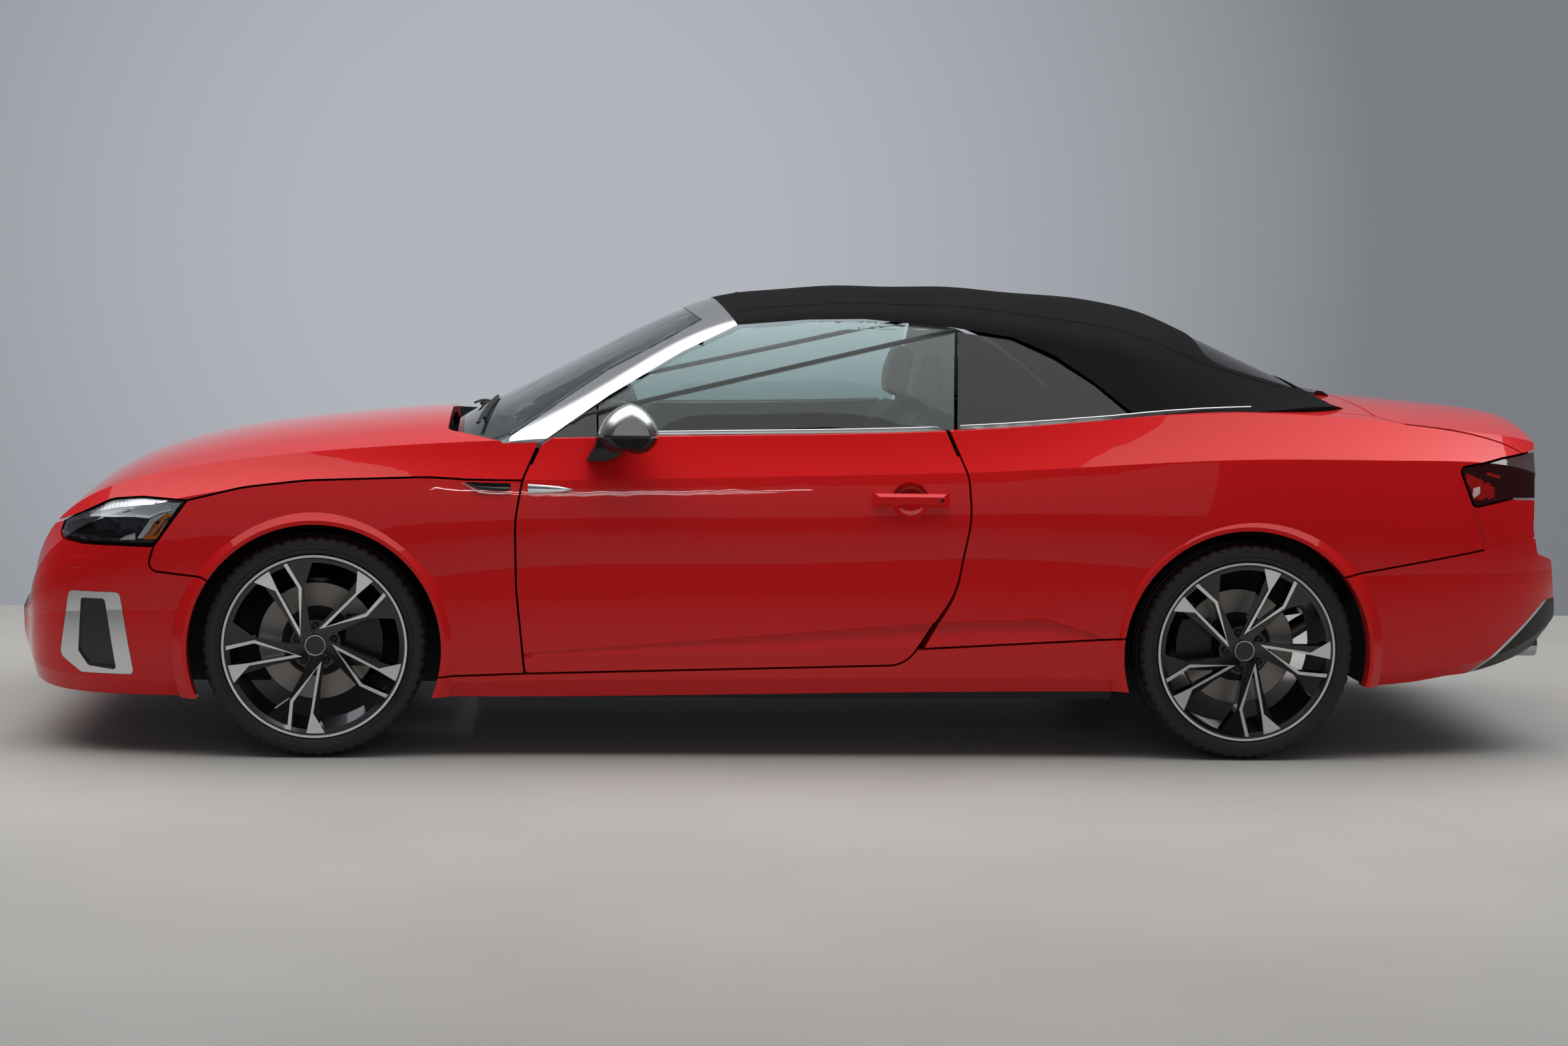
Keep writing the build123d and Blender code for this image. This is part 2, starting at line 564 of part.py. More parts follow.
# -------------------------------------------------------- structure and cabin
def underbody():
    """The floor pan, bulkhead, wheelhouses and inner body, and the boot's tub."""
    inset = SIDE_WALL + HULL_GAP
    hull = body_loft(inset, TOP_WALL + HULL_GAP, HULL_FLOOR,
                     (NOSE_INSIDE_X - 8, TAIL_INSIDE_X + 8))
    for x, end in ((FRONT_AXLE_X, "front"), (REAR_AXLE_X, "rear")):
        radius, inner = WHEELHOUSE[end]
        hull -= both_sides(bar_y(radius, x, ARCH_Z, inner, 1000))
        hull -= box(x - radius, x + radius, inner, 1000, 0, ARCH_Z)
        hull -= box(x - radius, x + radius, -1000, -inner, 0, ARCH_Z)
    hull -= box(1010, 2130, -RAIL_INSIDE, RAIL_INSIDE, 0, 1100)
    hull -= box(1880, 2130, -560, 560, 0, 1100)
    hull -= box(1880, 2300, -900, 900, 0, 215)
    hull -= box(1300, 1620, -500, 500, 0, SUBFRAME_TOP)
    hull -= box(-900, 960, -620, 620, CABIN_FLOOR, 1200)
    hull -= box(-1090, -890, -620, 620, SEAT_STEP, 1200)
    hull -= box(-462, 860, -900, 900, 330, 1200)
    hull -= box(-1700, -900, -620, 620, 800, 1200)
    hull -= box(-2300, -1050, -900, 900, 0, BOOT_FLOOR - 30)
    hull -= box(-2100, -1240, -600, 600, BOOT_FLOOR, 1200)
    under_glass = greenhouse_loft(GLASS_RECESS + GLASS, None, 1100, 600)
    hull -= box(850, 1100, -900, 900, 880, 1200) - under_glass
    hull -= box(860, 960, -900, 900, 800, 1200)
    for side in (1, -1):
        hull -= bar_z(HINGE_POCKET, HINGE_X, side * HINGE_Y, 240, 900)
    post = box(868, 905, 740, 790, CABIN_FLOOR, 862) + box(868, 905, 740, 806, 854, 862)
    tunnel = box(-900, 960, -130, 130, HULL_FLOOR, 420)
    hull = hull + both_sides(post) + tunnel
    hull -= box(-1100, 1010, -85, 85, 0, 300)
    tub = box(-2400, BOOT_WALL_X, -900, 900, 0, 1200)
    save("underbody", tidy(hull - tub))
    save("boot_tub", tidy(hull & tub))


def seats():
    """Two front seats and the rear bench, each cushion one plain solid."""
    profile = [(-260, CABIN_FLOOR, 20), (210, CABIN_FLOOR, 30), (230, 520, 60), (-170, 480, 40),
               (-330, 1010, 40), (-430, 990, 40), (-310, 420, 40)]
    front = extrude(outline(profile, Plane.XZ.offset(-370)), 240, both=True)
    head = Pos(-395, 370, 1100) * Rot(0, -12, 0) * Box(90, 240, 170)
    head = chamfer(head.edges().filter_by(Axis.Y), 20)
    posts = bar_z(8, -385, 330, 960, 1060) + bar_z(8, -385, 410, 960, 1060)
    save("front_seats", both_sides(front + head + posts))
    bench = [(-894, CABIN_FLOOR, 0), (-545, CABIN_FLOOR, 20), (-530, 560, 50),
             (-850, 540, 40), (-960, 960, 40), (-1060, 950, 30), (-940, 436, 0),
             (-894, 436, 0)]
    bench = extrude(outline(bench, Plane.XZ), 560, both=True)
    save("rear_seat", bench - box(-1200, -400, -131, 131, 0, 421))


def dashboard():
    """The dashboard and the steering wheel on its column."""
    profile = [(560, 640, 40), (860, 560, 0), (860, 905, 0), (620, 880, 60),
               (560, 780, 40)]
    panel = extrude(outline(profile, Plane.XZ), 700, both=True)
    panel += box(860, 960, -612, 612, 700, 925)
    save("dashboard", panel)
    rim = revolve(Plane.XZ * Pos(185, 0) * RegularPolygon(15, 6), Axis.Z)
    hub = Cylinder(60, 40)
    arms = Box(360, 30, 16) + Pos(0, -90, 0) * Box(30, 180, 16)
    column = Pos(0, 0, 80) * Cylinder(28, 160)
    wheel = Rot(0, 0, 90) * (rim + hub + arms + column)
    wheel = Pos(455, 370, 870) * Rot(0, 114, 0) * wheel
    save("steering_wheel", wheel - panel)


def drivetrain():
    """The engine as one block, the exhaust and the two subframes."""
    engine = box(1060, 1640, -250, 250, 300, 790)
    engine = chamfer(engine.edges().filter_by(Axis.X), 40)
    engine += both_sides(box(1300, 1360, 240, RAIL_INSIDE, 420, 460))
    save("engine_block", engine)

    silencer = box(-2120, -1800, -420, 420, 270, 400)
    silencer = fillet(silencer.edges().filter_by(Axis.Y), 40)
    route = FilletPolyline((900, 205), (-1560, 205), (-1740, 320), (-1860, 320), radius=150)
    pipe = sweep(Plane.YZ.offset(900) * Pos(0, 205) * Circle(28), Plane.XZ * route)
    hangers = box(-2000, -1980, 300, 320, 390, BOOT_FLOOR - 30)
    exhaust = silencer + pipe + both_sides(hangers)
    tips, bores = exhaust_tips()
    save("exhaust", exhaust + tips - bores)

    cross = box(1330, 1580, -480, 480, 195, SUBFRAME_TOP)
    lower = outline([(1380, 460, 0), (1535, 460, 0), (FRONT_AXLE_X + 34, 730, 30),
                     (FRONT_AXLE_X - 34, 730, 30)], Plane.XY.offset(195))
    lower = extrude(lower, 30)
    upper = (Pos(0, 0, 284) * lower) - box(1000, 2000, 0, WHEELHOUSE["front"][1], 400, 600)
    save("front_subframe", cross + both_sides(lower))
    save("front_upper_arms", both_sides(upper))

    x = REAR_AXLE_X
    cross = box(x - 160, x + 160, -600, 600, 245, 290)
    final_drive = box(x - 130, x + 130, -110, 110, 255, 410)
    final_drive = chamfer(final_drive.edges().filter_by(Axis.Y), 40)
    carrier = bar_y(55, x, WHEEL_Z, 660, DISC_Y - 20)
    arm = box(x - 60, x + 60, 590, 700, 245, 285) + bar_z(24, x, 690, 205, 480)
    for end in (-1, 1):
        arm += bar_z(36, x + end * 120, 520, 280, BOOT_FLOOR - 30)
    arm += caliper(x, 1)
    save("rear_subframe", cross + final_drive + both_sides(carrier + arm))


def exhaust_tips():
    """The two tailpipe ends, and what to cut out of them."""
    tips, bores = [], []
    for y in (488, 572):
        across_x = Plane.YZ.offset(-2300) * Pos(y, 312)
        tips.append(extrude(across_x * Ellipse(39, 36), 130))
        bores.append(extrude(across_x * Ellipse(34, 31), 110))
    link = box(-2180, -2110, 470, 590, 296, 328) + box(-2125, -2090, 400, 590, 296, 328)
    tips = tips[0] + tips[1] + link
    return both_sides(tips), both_sides(bores[0] + bores[1])


# ------------------------------------------------------------------ wheels
SPOKES = 5
# One double spoke, pointing down, as seen on the car's left: x, z from the hub.
SPOKE_BASE = [(-28, -30), (-17, -130), (-15, -228), (-36, -261), (24, -268), (82, -263),
              (150, -218), (146, -208), (76, -158), (16, -44), (14, -30)]
SPOKE_FACE = [(-19.6, -46), (70, -160), (79.6, -252), (82, -263), (24, -268),
              (-36, -262), (-34, -259), (3.6, -197.5)]
SPOKE_WINDOW = [(-8.5, -62), (61.7, -165), (68.5, -254), (24, -260), (10.9, -199)]
HUB_RADIUS = 74.0
CAP_RADIUS = 31.0
BOLT_CIRCLE = 56.0
SPOKE_ROOT = 58.0
SPOKE_REACH = 259.0
FACE_HUB = 88.0
FACE_RIM = 118.0
FACE_STEP = 7.0


def spokes(corners, turn):
    """Five turned copies of one outline, run through the whole wheel."""
    solids = []
    for k in range(SPOKES):
        blade = Plane.XZ.offset(-150) * make_face(Polyline(*corners, close=True))
        solids.append(Rot(0, turn + 360.0 / SPOKES * k, 0) * extrude(blade, 130))
    return Compound(solids)


def dished(root, step):
    """The room under the wheel's shallow conical face less a step, clear of the tyre."""
    profile = [(0, root), (0, FACE_HUB - step), (SPOKE_REACH, FACE_RIM - step),
               (SPOKE_REACH, root)]
    room = make_face(Polyline(*profile, close=True))
    room -= Pos(SPOKE_REACH, 0) * Rectangle(10, 2 * BEAD_HALF_WIDTH + 2)
    return revolve(room, Axis.Y)


def wheel(x, sign, turn):
    """A wheel: barrel with two flanges, hub, and five double spokes with bright faces."""
    half = BEAD_HALF_WIDTH
    profile = make_face(Polyline(
        (FLANGE_RADIUS, half + 9), (FLANGE_RADIUS, half), (BEAD_RADIUS, half),
        (BEAD_RADIUS, -half), (FLANGE_RADIUS, -half), (FLANGE_RADIUS, -half - 9),
        (246, -half - 9), (246, half), (257, half + 3), (257, half + 9), close=True))
    barrel = revolve(profile, Axis.Y)
    deep = spokes(SPOKE_BASE, turn) & dished(SPOKE_ROOT, FACE_STEP)
    bright = spokes(SPOKE_FACE, turn) & dished(SPOKE_ROOT + 20, 0)
    arms = (deep + bright) - spokes(SPOKE_WINDOW, turn)
    hub = bar_y(HUB_RADIUS, 0, 0, 20, FACE_HUB - FACE_STEP - 3)
    for k in range(SPOKES):
        hub -= Rot(0, turn + 360.0 / SPOKES * (k + 0.5), 0) * bar_y(
            13, 0, -BOLT_CIRCLE, 66, 100)
    shape = barrel + arms + hub + bar_y(CAP_RADIUS, 0, 0, 60, FACE_HUB + 1)
    if sign < 0:
        shape = mirror(shape, Plane.XZ)
    return Pos(x, sign * WHEEL_Y, WHEEL_Z) * shape


def tyre(x, sign):
    """A tyre with stepped shoulders and sidewalls."""
    half = BEAD_HALF_WIDTH
    side = [(BEAD_RADIUS, half), (FLANGE_RADIUS, half), (279, half + 12),
            (300, TYRE_HALF_WIDTH), (319, 122), (TYRE_RADIUS, 106)]
    profile = side + [(r, -y) for r, y in reversed(side)]
    ring = revolve(make_face(Polyline(*profile, close=True)), Axis.Y)
    return Pos(x, sign * WHEEL_Y, WHEEL_Z) * ring


def caliper(x, way):
    """The left brake caliper of an axle, astride its disc, ahead of it or behind."""
    near, far = sorted((x + way * 84, x + way * 200))
    block = bar_y(193, x, WHEEL_Z, DISC_Y - 46, DISC_Y + 44)
    block &= box(near, far, 700, 810, WHEEL_Z - 70, WHEEL_Z + 84)
    block -= bar_y(DISC_RADIUS + 6, x, WHEEL_Z, DISC_Y - 20, DISC_Y + 20)
    near, far = sorted((x, x + way * 110))
    return block + box(near, far, 700, DISC_Y - 20, WHEEL_Z - 26, WHEEL_Z + 34)


def running_gear():
    """Wheels, tyres, brake discs and the steered front uprights."""
    corners = (("front_left", FRONT_AXLE_X, 1, 0.0), ("front_right", FRONT_AXLE_X, -1, 0.0),
               ("rear_left", REAR_AXLE_X, 1, 18.7), ("rear_right", REAR_AXLE_X, -1, 18.7))
    for name, x, sign, turn in corners:
        save(f"wheel_{name}", wheel(x, sign, turn))
        save(f"tyre_{name}", tyre(x, sign))
        disc = bar_y(DISC_RADIUS, x, WHEEL_Z, sign * (DISC_Y - 14), sign * (DISC_Y + 14))
        bell = bar_y(75, x, WHEEL_Z, sign * (DISC_Y + 14), sign * (WHEEL_Y + 20))
        save(f"brake_disc_{name}", disc + bell)
    for name, sign in (("left", 1), ("right", -1)):
        x = FRONT_AXLE_X
        carrier = bar_y(55, x, WHEEL_Z, sign * 660, sign * (DISC_Y - 19))
        kingpin = bar_z(18, x, sign * KINGPIN_Y, 226, 478)
        brake = caliper(x, -1) if sign > 0 else mirror(caliper(x, -1), Plane.XZ)
        save(f"upright_{name}", carrier + kingpin + brake)


def main():
    body_panels()
    glazing()
    mirrors()
    underbody()
    seats()
    dashboard()
    drivetrain()
    running_gear()


main()
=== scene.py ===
# %% [markdown]
# # A red convertible car
#
# This notebook dresses a finished mechanical model of a two-door convertible. The
# model comes in as a fixed frame of named nodes, such as a door or a tyre, sorted
# into bodies that move together. Each step below adds a material or a piece and
# says which body it rides on. Lengths are in metres: +X points to the front of
# the car, +Y to its left and +Z up.

import json
import math

import bmesh
import bpy
from mathutils import Euler, Matrix, Vector
from mathutils.bvhtree import BVHTree


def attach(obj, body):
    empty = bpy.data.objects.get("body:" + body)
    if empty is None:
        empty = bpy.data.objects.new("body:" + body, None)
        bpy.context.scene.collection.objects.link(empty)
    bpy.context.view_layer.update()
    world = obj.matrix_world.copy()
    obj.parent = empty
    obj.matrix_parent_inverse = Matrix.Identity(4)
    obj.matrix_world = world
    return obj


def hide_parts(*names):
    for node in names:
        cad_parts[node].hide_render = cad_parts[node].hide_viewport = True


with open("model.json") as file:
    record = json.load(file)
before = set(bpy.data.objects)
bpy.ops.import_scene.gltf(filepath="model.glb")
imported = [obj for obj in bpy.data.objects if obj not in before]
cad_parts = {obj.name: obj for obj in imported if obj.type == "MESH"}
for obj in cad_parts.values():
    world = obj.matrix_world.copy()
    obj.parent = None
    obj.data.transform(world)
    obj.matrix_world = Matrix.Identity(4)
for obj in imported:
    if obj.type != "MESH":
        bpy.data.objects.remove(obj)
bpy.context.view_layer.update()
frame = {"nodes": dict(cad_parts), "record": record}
NODES = frame["nodes"]
CORNERS = ("front_left", "front_right", "rear_left", "rear_right")
SIDES = (("left", 1.0), ("right", -1.0))
SIGN = dict(SIDES)
BODY_OF = {node: body for body, members in frame["record"]["behaviour"]["bodies"].items()
           for node in members}


def add_object(name, data):
    """A new object that shows some data, such as a mesh, a lamp or a camera."""
    thing = bpy.data.objects.new(name, data)
    bpy.context.scene.collection.objects.link(thing)
    return thing


# %% [markdown]
# ## Camera
#
# The camera stands almost square to the car's left side, a little above the
# waist line, with a lens long enough to keep both wheels round.

# %% Camera
CAMERA_PLACE = (0.8088, 9.635, 1.5165)
CAMERA_TURN = (84.688, -0.970, 175.369)
FOCAL_LENGTH = 68.61

camera_data = bpy.data.cameras.new("camera")
camera_data.lens = FOCAL_LENGTH
camera_data.sensor_width = 36.0
camera = add_object("camera", camera_data)
camera.location = CAMERA_PLACE
camera.rotation_euler = Euler([math.radians(a) for a in CAMERA_TURN])
bpy.context.scene.camera = camera
print("camera at", tuple(round(v, 2) for v in camera.location))

# %% [markdown]
# ## Shader values
#
# Node trees are easier to read as sums. A `Value` is one output of a node, and
# the usual signs build the Math nodes that join such outputs.

# %% Shader values
class Value:
    """One output in a node tree, which can be used like a number."""

    def __init__(self, tree, socket):
        self.tree = tree
        self.socket = socket

    def _join(self, operation, *items):
        node = self.tree.nodes.new("ShaderNodeMath")
        node.operation = operation
        for slot, item in zip(node.inputs, items):
            plug(self.tree, slot, item)
        return Value(self.tree, node.outputs[0])

    def number(self, operation, *items):
        return self._join(operation, self, *items)

    def size(self):
        """The value without its sign."""
        return self.number("ABSOLUTE")

    def part(self, axis):
        node = self.tree.nodes.new("ShaderNodeSeparateXYZ")
        plug(self.tree, node.inputs[0], self)
        return Value(self.tree, node.outputs["XYZ".index(axis)])

    def __add__(self, other):
        return self.number("ADD", other)

    def __sub__(self, other):
        return self.number("SUBTRACT", other)

    def __rsub__(self, other):
        return self._join("SUBTRACT", other, self)

    def __mul__(self, other):
        return self.number("MULTIPLY", other)

    def __truediv__(self, other):
        return self.number("DIVIDE", other)

    def __gt__(self, other):
        return self.number("GREATER_THAN", other)

    def __lt__(self, other):
        return self.number("LESS_THAN", other)


def plug(tree, slot, item):
    """Links a Value to a socket, or writes a plain number or colour there."""
    if isinstance(item, Value):
        tree.links.new(item.socket, slot)
    else:
        slot.default_value = item


def mixed(tree, factor, first, second):
    """A colour between two colours, by a factor from 0 to 1."""
    node = tree.nodes.new("ShaderNodeMix")
    node.data_type = "RGBA"
    plug(tree, node.inputs["Factor"], factor)
    for slot, item in zip(node.inputs[6:8], (first, second)):
        plug(tree, slot, item if isinstance(item, Value) else (*item, 1.0))
    return Value(tree, node.outputs[2])


def waves(along_line, scale):
    return (along_line * scale).number("SINE") * 0.5 + 0.5


class Material:
    """A Principled material whose fixed settings sit on the shader's sockets."""

    def __init__(self, name, colour, roughness, **settings):
        self.data = bpy.data.materials.new(name)
        self.data.use_nodes = True
        self.tree = self.data.node_tree
        self.shader = self.tree.nodes["Principled BSDF"]
        self.set("Base Color", (*colour, 1.0))
        self.set("Roughness", roughness)
        for key, value in settings.items():
            self.set(key.replace("_", " ").title().replace("Ior", "IOR"), value)

    def set(self, socket, item):
        plug(self.tree, self.shader.inputs[socket], item)

    def node(self, kind, sockets, output):
        node = self.tree.nodes.new(kind)
        for key, item in sockets.items():
            plug(self.tree, node.inputs[key], item)
        return Value(self.tree, node.outputs[output])

    def place(self):
        """Where a point of the surface is, in the car's own metres."""
        return self.node("ShaderNodeTexCoord", {}, "Object")

    def cells(self, scale, output):
        sockets = {"Vector": self.place(), "Scale": scale}
        return self.node("ShaderNodeTexVoronoi", sockets, output)

    def facing(self, axis):
        return self.node("ShaderNodeNewGeometry", {}, "Normal").part(axis)

    def noise(self, scale, detail=3.0):
        sockets = {"Vector": self.place(), "Scale": scale, "Detail": detail}
        return self.node("ShaderNodeTexNoise", sockets, "Fac")

    def stripes(self, axis, scale):
        """Fine waves from 0 to 1 along an axis."""
        return waves(self.place().part(axis), scale)

    def mix(self, factor, first, second):
        return mixed(self.tree, factor, first, second)

    def bump(self, height, distance, strength):
        normal = self.node("ShaderNodeBump", {
            "Height": height, "Distance": distance, "Strength": strength}, "Normal")
        self.set("Normal", normal)


print("shader helpers ready")

# %% [markdown]
# ## Paint and metal
#
# Each finish of the car is one small function. Car paint is a coloured layer under
# a clear coat, so the colour sits on the base and the mirror-like shine comes from
# the coat. Fine flakes change the roughness of the base and make it sparkle.

# %% Painted and metal finishes
def red_paint():
    """Red outside, and black trim on the inner faces of doors and quarters."""
    m = Material("red_paint", (0.72, 0.007, 0.009), 0.42, coat_roughness=0.02,
                 coat_ior=1.36, specular_ior_level=0.12)
    place = m.place()
    y = place.part("Y")
    facing = m.facing("Y")
    inner = ((facing * y) < -0.12) * (y.size() > 0.6) * (place.part("Z") > 0.22)
    flakes = m.cells(900.0, "Color")
    m.set("Roughness", flakes.part("X") * 0.16 + 0.34)
    m.set("Coat Weight", 1.0 - inner)
    cloudy = m.mix(m.noise(1.4), (0.70, 0.006, 0.008), (0.75, 0.008, 0.010))
    m.set("Base Color", m.mix(inner, cloudy, (0.018, 0.018, 0.019)))
    return m.data


def uneven(name, colour, scale, swing, least, **settings):
    """A finish whose roughness drifts a little from place to place."""
    m = Material(name, colour, least, **settings)
    m.set("Roughness", m.noise(scale) * swing + least)
    return m.data


def speckled(name, first, second, roughness, scale, **settings):
    """A finish that varies between two colours in small specks."""
    m = Material(name, first, roughness, **settings)
    m.set("Base Color", m.mix(m.noise(scale), first, second))
    return m.data


def matt_black():
    m = Material("matt_black", (0.018, 0.018, 0.019), 0.62)
    grain = m.noise(900.0, 2.0)
    m.set("Base Color", m.mix(grain, (0.012, 0.012, 0.013), (0.026, 0.026, 0.028)))
    m.bump(grain, 0.0002, 0.5)
    return m.data


def cast_metal():
    m = Material("cast_metal", (0.28, 0.28, 0.29), 0.5, metallic=0.9)
    grain = m.noise(260.0)
    m.set("Roughness", grain * 0.3 + 0.35)
    m.bump(grain, 0.0006, 0.6)
    return m.data


print("paint and metal ready")

# %% [markdown]
# ## Wheels
#
# The wheels are painted black and then turned on a lathe, which leaves the highest
# faces bare, with fine rings. A material can follow the same rule: a point is bright
# where it lies on the turned cone, which depends on its distance from the axle.

# %% Wheel and brake finishes
AXLE_X = {"front": 1.4565, "rear": -1.3085}
AXLE_Z = 0.327
WHEEL_Y = 0.788
CONE_RISE, CONE_START = 30.0 / 259.0, 0.088 - 0.0011
SPOKES_FROM, SPOKES_TO = 0.046, 0.256
RIM_FACE, RIM_RING = 0.1202, (0.2620, 0.2685)
DISC_RUBBED = (0.105, 0.173)
CALIPER_FROM_X, CALIPER_FROM_Y = 0.083, 0.695


def from_axle(m, axle):
    """Distance from the axle, and how far outboard of the wheel's middle."""
    place = m.place()
    along, up = place.part("X") - AXLE_X[axle], place.part("Z") - AXLE_Z
    radius = (along * along + up * up).number("SQRT")
    return radius, place.part("Y").size() - WHEEL_Y


def turned_wheel(axle):
    m = Material(f"turned_wheel_{axle}", (0.01, 0.01, 0.011), 0.2, coat_weight=0.5)
    radius, outboard = from_axle(m, axle)
    cone = radius * CONE_RISE + CONE_START
    spoke = (outboard > cone) * (radius > SPOKES_FROM) * (radius < SPOKES_TO)
    ring = (outboard > RIM_FACE) * (radius > RIM_RING[0]) * (radius < RIM_RING[1])
    bright = (spoke + ring).number("MINIMUM", 1.0)
    rings = waves(radius, 5200.0)
    metal = m.mix(rings, (0.84, 0.84, 0.85), (0.96, 0.96, 0.97))
    m.set("Base Color", m.mix(bright, (0.004, 0.004, 0.0045), metal))
    m.set("Metallic", bright)
    m.set("Roughness", bright * 0.18 + 0.16)
    m.bump(rings * bright, 0.00006, 0.5)
    return m.data


def brake_iron(axle):
    m = Material(f"brake_iron_{axle}", (0.30, 0.28, 0.26), 0.4, metallic=0.85)
    radius, _ = from_axle(m, axle)
    rings = waves(radius, 2600.0)
    rubbed = (radius > DISC_RUBBED[0]) * (radius < DISC_RUBBED[1])
    face = m.mix(rings, (0.26, 0.24, 0.225), (0.36, 0.34, 0.32))
    m.set("Base Color", m.mix(rubbed, (0.05, 0.045, 0.042), face))
    m.set("Roughness", 0.62 - rubbed * 0.25)
    m.bump(rings * rubbed, 0.0001, 0.4)
    return m.data


def running_gear(axle):
    """Bare castings, and black paint on the brake calipers."""
    m = Material(f"running_gear_{axle}", (0.2, 0.2, 0.2), 0.5)
    place = m.place()
    inward = 1.0 if axle == "rear" else -1.0
    painted = ((place.part("X") - AXLE_X[axle]) * inward > CALIPER_FROM_X) * (
        place.part("Y").size() > CALIPER_FROM_Y)
    grain = m.noise(260.0)
    m.set("Base Color", m.mix(painted, (0.24, 0.24, 0.25), (0.010, 0.010, 0.011)))
    m.set("Metallic", 0.8 - painted * 0.8)
    m.set("Roughness", grain * 0.2 + 0.38 - painted * 0.2)
    m.bump(grain, 0.0005, 0.4)
    return m.data


def tyre_rubber():
    m = Material("tyre_rubber", (0.016, 0.016, 0.017), 0.55)
    dust = m.noise(18.0)
    m.set("Base Color", m.mix(dust, (0.008, 0.008, 0.009), (0.020, 0.0195, 0.019)))
    m.set("Roughness", dust * 0.25 + 0.45)
    m.bump(m.noise(700.0), 0.0003, 0.4)
    return m.data


print("wheel finishes ready")

# %% [markdown]
# ## Glass and lamps
#
# Bands of colour by place are enough for the lamps' reflectors, since only bright
# and dark blocks are seen through the lens; in the headlamp these blocks are a painted
# reflection. Window glass is tinted, and the small rear windows are almost black.
# The glass also carries painted shade that darkens it towards the belt, and a painted
# reflection that lightens it under the roof.

# %% Glass and lamp finishes
def tinted_glass_painted_reflection(name, dark, light, low=0.9, high=1.3):
    """Tinted glass that is a little darker towards the belt than under the roof:
    the dark part is painted shade and the light part a painted reflection.
    """
    m = Material(name, light, 0.0, transmission_weight=1.0, ior=1.45)
    # Painted shade and reflection: the colour runs from the dark tint at the belt to the light
    # tint under the roof.
    rise = (m.place().part("Z") - low) / (high - low)
    m.set("Base Color", m.mix(rise + m.noise(3.0) * 0.1, dark, light))
    return m.data


def headlamp_inside():
    """Dark housing whose lighter cells are a painted reflection, with a bright ledge
    along its top that carries the light bar.
    """
    m = Material("headlamp_inside", (0.02, 0.02, 0.02), 0.25)
    place = m.place()
    x, z = place.part("X"), place.part("Z")
    ledge = (z > 0.7) * (z - (0.745 - (x - 1.9) * 0.06) < 0.02)
    ribs = waves(x, 520.0)
    bar = m.mix(ribs, (0.55, 0.57, 0.60), (0.86, 0.88, 0.90))
    # Painted reflection: cells of lighter grey stand for the reflector's facets catching light.
    cells = m.cells(55.0, "Color")
    housing = m.mix(cells.part("X"), (0.022, 0.024, 0.030), (0.115, 0.125, 0.150))
    m.set("Base Color", m.mix(ledge, housing, bar))
    m.set("Roughness", 0.3 - ledge * 0.1)
    m.set("Metallic", ledge * 0.3 + 0.3)
    return m.data


def tail_lamp():
    """Almost black cover, with bars of red light units on the faces that look back."""
    m = Material("tail_lamp", (0.05, 0.003, 0.004), 0.06, coat_weight=1.0)
    place = m.place()
    facing = m.facing("X")
    bars = (place.part("Z") * 215.0).number("SINE") > 0.1
    lit = bars * (facing < -0.72) * (place.part("Z") > 0.800) * (place.part("Z") < 0.892)
    ribs = m.stripes("Y", 900.0)
    glow = m.mix(ribs, (0.50, 0.008, 0.010), (0.78, 0.03, 0.025))
    m.set("Base Color", m.mix(lit, (0.035, 0.003, 0.004), glow))
    return m.data


def amber_lens():
    m = Material("amber_lens", (0.9, 0.25, 0.02), 0.1, coat_weight=1.0)
    dots = m.cells(160.0, "Distance")
    m.set("Base Color", m.mix(dots, (0.95, 0.30, 0.02), (0.55, 0.09, 0.01)))
    return m.data


print("glass and lamps ready")

# %% [markdown]
# ## Cloth, leather and two-tone parts
#
# The roof is a thick woven cloth with a dry look, and its fine weave goes into the
# bump. The mirror housing is one casting in two colours, so height decides between
# silver and black.

# %% Cloth, leather and two-tone finishes
def roof_cloth():
    m = Material("roof_cloth", (0.018, 0.018, 0.020), 0.95, specular_ior_level=0.12)
    place = m.place()
    warp = (place.part("X") * 2600.0).number("SINE")
    weft = (place.part("Y") * 2600.0).number("SINE")
    weave = warp * weft * 0.5 + 0.5
    shade = m.noise(5.0)
    m.set("Base Color", m.mix(shade, (0.0045, 0.0045, 0.005), (0.009, 0.009, 0.0095)))
    m.bump(weave * 0.6 + m.noise(1400.0) * 0.4, 0.0008, 0.6)
    return m.data


def seat_leather(name="seat_leather", quilted=False):
    m = Material(name, (0.028, 0.027, 0.028), 0.42)
    grain = m.cells(420.0, "Distance")
    height = grain * 0.12
    if quilted:
        place = m.place()
        across, up = place.part("Y") * 62.0, (place.part("Z") - place.part("X") * 0.9) * 52.0
        first = (across + up).number("SINE").size()
        second = (across - up).number("SINE").size()
        height = height + first.number("MINIMUM", second).number("MINIMUM", 0.45) * 2.0
    m.set("Base Color", m.mix(grain, (0.016, 0.016, 0.017), (0.034, 0.033, 0.034)))
    m.bump(height, 0.004, 0.7)
    return m.data


def mirror_housing():
    m = Material("mirror_housing", (0.72, 0.73, 0.74), 0.28, metallic=1.0)
    place = m.place()
    cap = (place.part("Z") > 0.9612) * (place.part("Y").size() > 0.884)
    slot = (place.part("Z") > 0.9525) * (place.part("Z") < 0.9600) * (
        place.part("Y").size() > 0.9)
    dark = m.mix(slot, (0.008, 0.008, 0.009), (0.16, 0.15, 0.145))
    m.set("Base Color", m.mix(cap, dark, (0.72, 0.73, 0.74)))
    m.set("Metallic", cap)
    m.set("Roughness", m.noise(60.0) * 0.06 + 0.16 + cap * 0.08)
    return m.data


